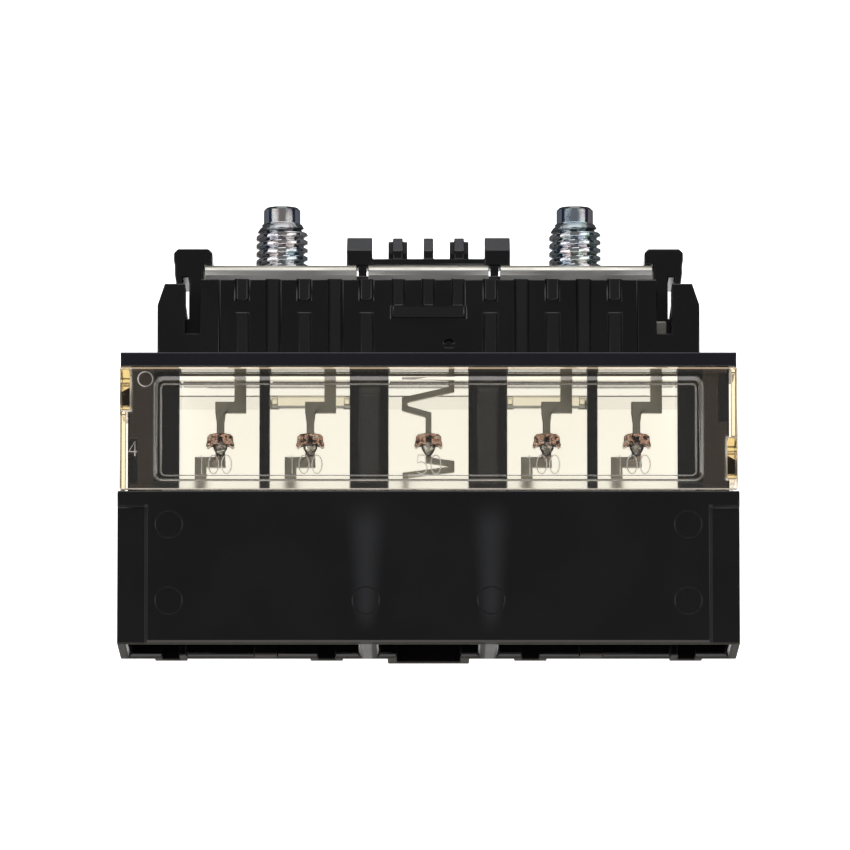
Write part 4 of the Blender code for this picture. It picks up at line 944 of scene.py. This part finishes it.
def makePellets():
    # each slug is a drop of tin: narrow at its foot, full under the claw
    pellets = []
    for number, pole in enumerate(poles, start=1):
        nodeName = f"fuse_pellet_{number}"
        low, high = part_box(nodeName)
        shape = bmesh.new()
        rings = []
        for row in range(drop["rows"] + 1):
            share = row / drop["rows"]
            height = low.y + (high.y - drop["gap"] - low.y) * share
            ends = max(drop["endSize"], math.sqrt(1 - abs(2 * share - 1) ** drop["bulge"]))
            full = min(1.0, share / drop["bellyAt"])
            wide = (drop["foot"] + (drop["belly"] - drop["foot"]) * full) * ends
            deep = drop["depth"] * (drop["footDepth"] + (1 - drop["footDepth"]) * full) * ends
            rings.append(addRing(shape, pole, height, (low.z + high.z) / 2, wide, deep, drop["around"]))
        skinRings(shape, rings)
        pellet = finished(f"tinSlug{number}", shape, tinSlug)
        pellet.data.shade_smooth()
        pellets.append((pellet, nodeName))
    return pellets


floor = {"size": 1.6, "colour": (0.86, 0.86, 0.86), "rough": 0.6, "glow": 1.16, "farGlow": 0.42,
         "glowReach": (0.1, 0.34), "slant": (0.015, 0.1), "slantGlow": 0.05,
         "slantColour": (0.03, 0.03, 0.04), "patchHalf": 60 * mm, "patch": (80 * mm, 220 * mm)}


def makeLightTable():
    material = bpy.data.materials.new("lightTable")
    material.use_nodes = True
    tree = material.node_tree
    shader = tree.nodes["Principled BSDF"]
    shader.inputs["Roughness"].default_value = floor["rough"]
    shader.inputs["Emission Strength"].default_value = 1.0
    place = addNode(tree, "ShaderNodeTexCoord").outputs["Object"]
    length = addNode(tree, "ShaderNodeVectorMath", operation="LENGTH")
    tree.links.new(place, length.inputs[0])
    fade = mapped(tree, length.outputs["Value"], *floor["glowReach"], floor["glow"], floor["farGlow"])
    # the table shines upwards, so slanting reflections of it are dim
    facing = addNode(tree, "ShaderNodeLayerWeight").outputs["Facing"]
    slant = mapped(tree, facing, *floor["slant"], 1.0, floor["slantGlow"])
    glossy = addNode(tree, "ShaderNodeLightPath").outputs["Is Glossy Ray"]
    dimmed = product(tree, glossy, calculate(tree, "SUBTRACT", 1.0, slant))
    dimmed = calculate(tree, "SUBTRACT", 1.0, dimmed)
    # a bright patch beyond the studs lights the slopes of the comb and the bends of the plates
    axes = separated(tree, place)
    patch = isUnder(tree, calculate(tree, "ABSOLUTE", axes["X"]), floor["patchHalf"])
    patch = product(tree, patch, between(tree, axes["Y"], *floor["patch"]))
    dimmed = calculate(tree, "MAXIMUM", dimmed, patch)
    tree.links.new(blended(tree, dimmed, floor["slantColour"], floor["colour"]), shader.inputs["Base Color"])
    fade = product(tree, fade, dimmed)
    glow = addNode(tree, "ShaderNodeCombineColor")
    for channel in ("Red", "Green", "Blue"):
        tree.links.new(fade, glow.inputs[channel])
    tree.links.new(glow.outputs["Color"], shader.inputs["Emission Color"])
    return material


def makeStage():
    mesh = bpy.data.meshes.new("floor")
    half = floor["size"] / 2
    corners = [(-half, -half, 0), (half, -half, 0), (half, half, 0), (-half, half, 0)]
    mesh.from_pydata(corners, [], [(0, 1, 2, 3)])
    piece = bpy.data.objects.new("floor", mesh)
    bpy.context.scene.collection.objects.link(piece)
    mesh.materials.append(makeLightTable())


lights = {
    "leftBox": {"place": (-0.56, 0.02, 0.60), "size": (0.27, 0.7), "power": 1.5, "colour": (1.0, 0.99, 0.97)},
    "rightBox": {"place": (0.56, 0.02, 0.60), "size": (0.27, 0.7), "power": 1.5, "colour": (0.98, 0.99, 1.0)},
    "topBox": {"place": (0.0, 0.75, 0.36), "size": (0.8, 0.3), "power": 0.8, "colour": (0.92, 0.95, 1.0)},
}
studio = {"sides": (0.022, 0.027, 0.05), "overhead": (0.2, 0.2, 0.205), "overheadFrom": (0.55, 0.9),
          "back": (1.5, 1.5, 1.53), "backFrom": (0.5, 0.66), "front": (2.0, 1.88, 1.78),
          "frontUpTo": (-0.95, -0.75)}


def makeLights():
    for name, light in lights.items():
        data = bpy.data.lights.new(name, "AREA")
        data.shape = "RECTANGLE"
        data.size, data.size_y = light["size"]
        data.energy = light["power"]
        data.color = light["colour"]
        lamp = bpy.data.objects.new(name, data)
        lamp.location = light["place"]
        lamp.rotation_euler = (-Vector(light["place"])).to_track_quat("-Z", "Y").to_euler()
        bpy.context.scene.collection.objects.link(lamp)


def makeStudio():
    # a dim room with a bright wall at each end of the block
    world = bpy.data.worlds.new("studio")
    world.use_nodes = True
    tree = world.node_tree
    axes = separated(tree, addNode(tree, "ShaderNodeTexCoord").outputs["Generated"])
    overhead = mapped(tree, axes["Z"], *studio["overheadFrom"])
    colour = blended(tree, overhead, studio["sides"], studio["overhead"])
    colour = blended(tree, mapped(tree, axes["Y"], *studio["backFrom"]), colour, studio["back"])
    colour = blended(tree, fading(tree, axes["Y"], *studio["frontUpTo"]), colour, studio["front"])
    tree.links.new(colour, tree.nodes["Background"].inputs["Color"])
    bpy.context.scene.world = world


camera = {"lens": 419.3, "sensor": 36.0, "clip": (0.05, 20.0), "target": (-0.53 * mm, -1.4 * mm, 26.4 * mm),
          "distance": 1.5, "tilt": 8.0}


def makeCamera():
    data = bpy.data.cameras.new("camera")
    data.lens = camera["lens"]
    data.sensor_width = camera["sensor"]
    data.clip_start, data.clip_end = camera["clip"]
    eye = bpy.data.objects.new("camera", data)
    tilt = math.radians(camera["tilt"])
    away = Vector((0.0, -math.sin(tilt), math.cos(tilt)))
    eye.location = Vector(camera["target"]) + away * camera["distance"]
    eye.rotation_euler = (tilt, 0.0, 0.0)
    bpy.context.scene.collection.objects.link(eye)
    bpy.context.scene.camera = eye


housing = makeHousing()
print("housing rounded and marked, open edges:", openEdges(housing))
frontCover, rearCover = makeCovers()
print("covers engraved, open edges:", openEdges(frontCover), openEdges(rearCover))
busBars = makeBusBars()
studs = makeStuds()
pellets = makePellets()
print("metal parts made, open edges:", [openEdges(piece) for piece, nodeName in busBars + studs + pellets])

dressed = [(housing, "housing", "black_moulding"), (frontCover, "front_window", "clear_cover"),
           (rearCover, "rear_window", "clear_cover")]
dressed += [(piece, nodeName, "tinned_copper") for piece, nodeName in busBars]
dressed += [(piece, nodeName, "plated_steel") for piece, nodeName in studs]
dressed += [(piece, nodeName, "tin") for piece, nodeName in pellets]
for piece, nodeName, slotName in dressed:
    keptInside(piece)
    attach(piece, root)
    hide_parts(nodeName)
    print(" ", piece.name, len(piece.data.polygons), "faces")

makeStage()
makeLights()
makeStudio()
makeCamera()
bpy.context.scene.view_settings.view_transform = "Standard"
print("stage, lights and camera set")
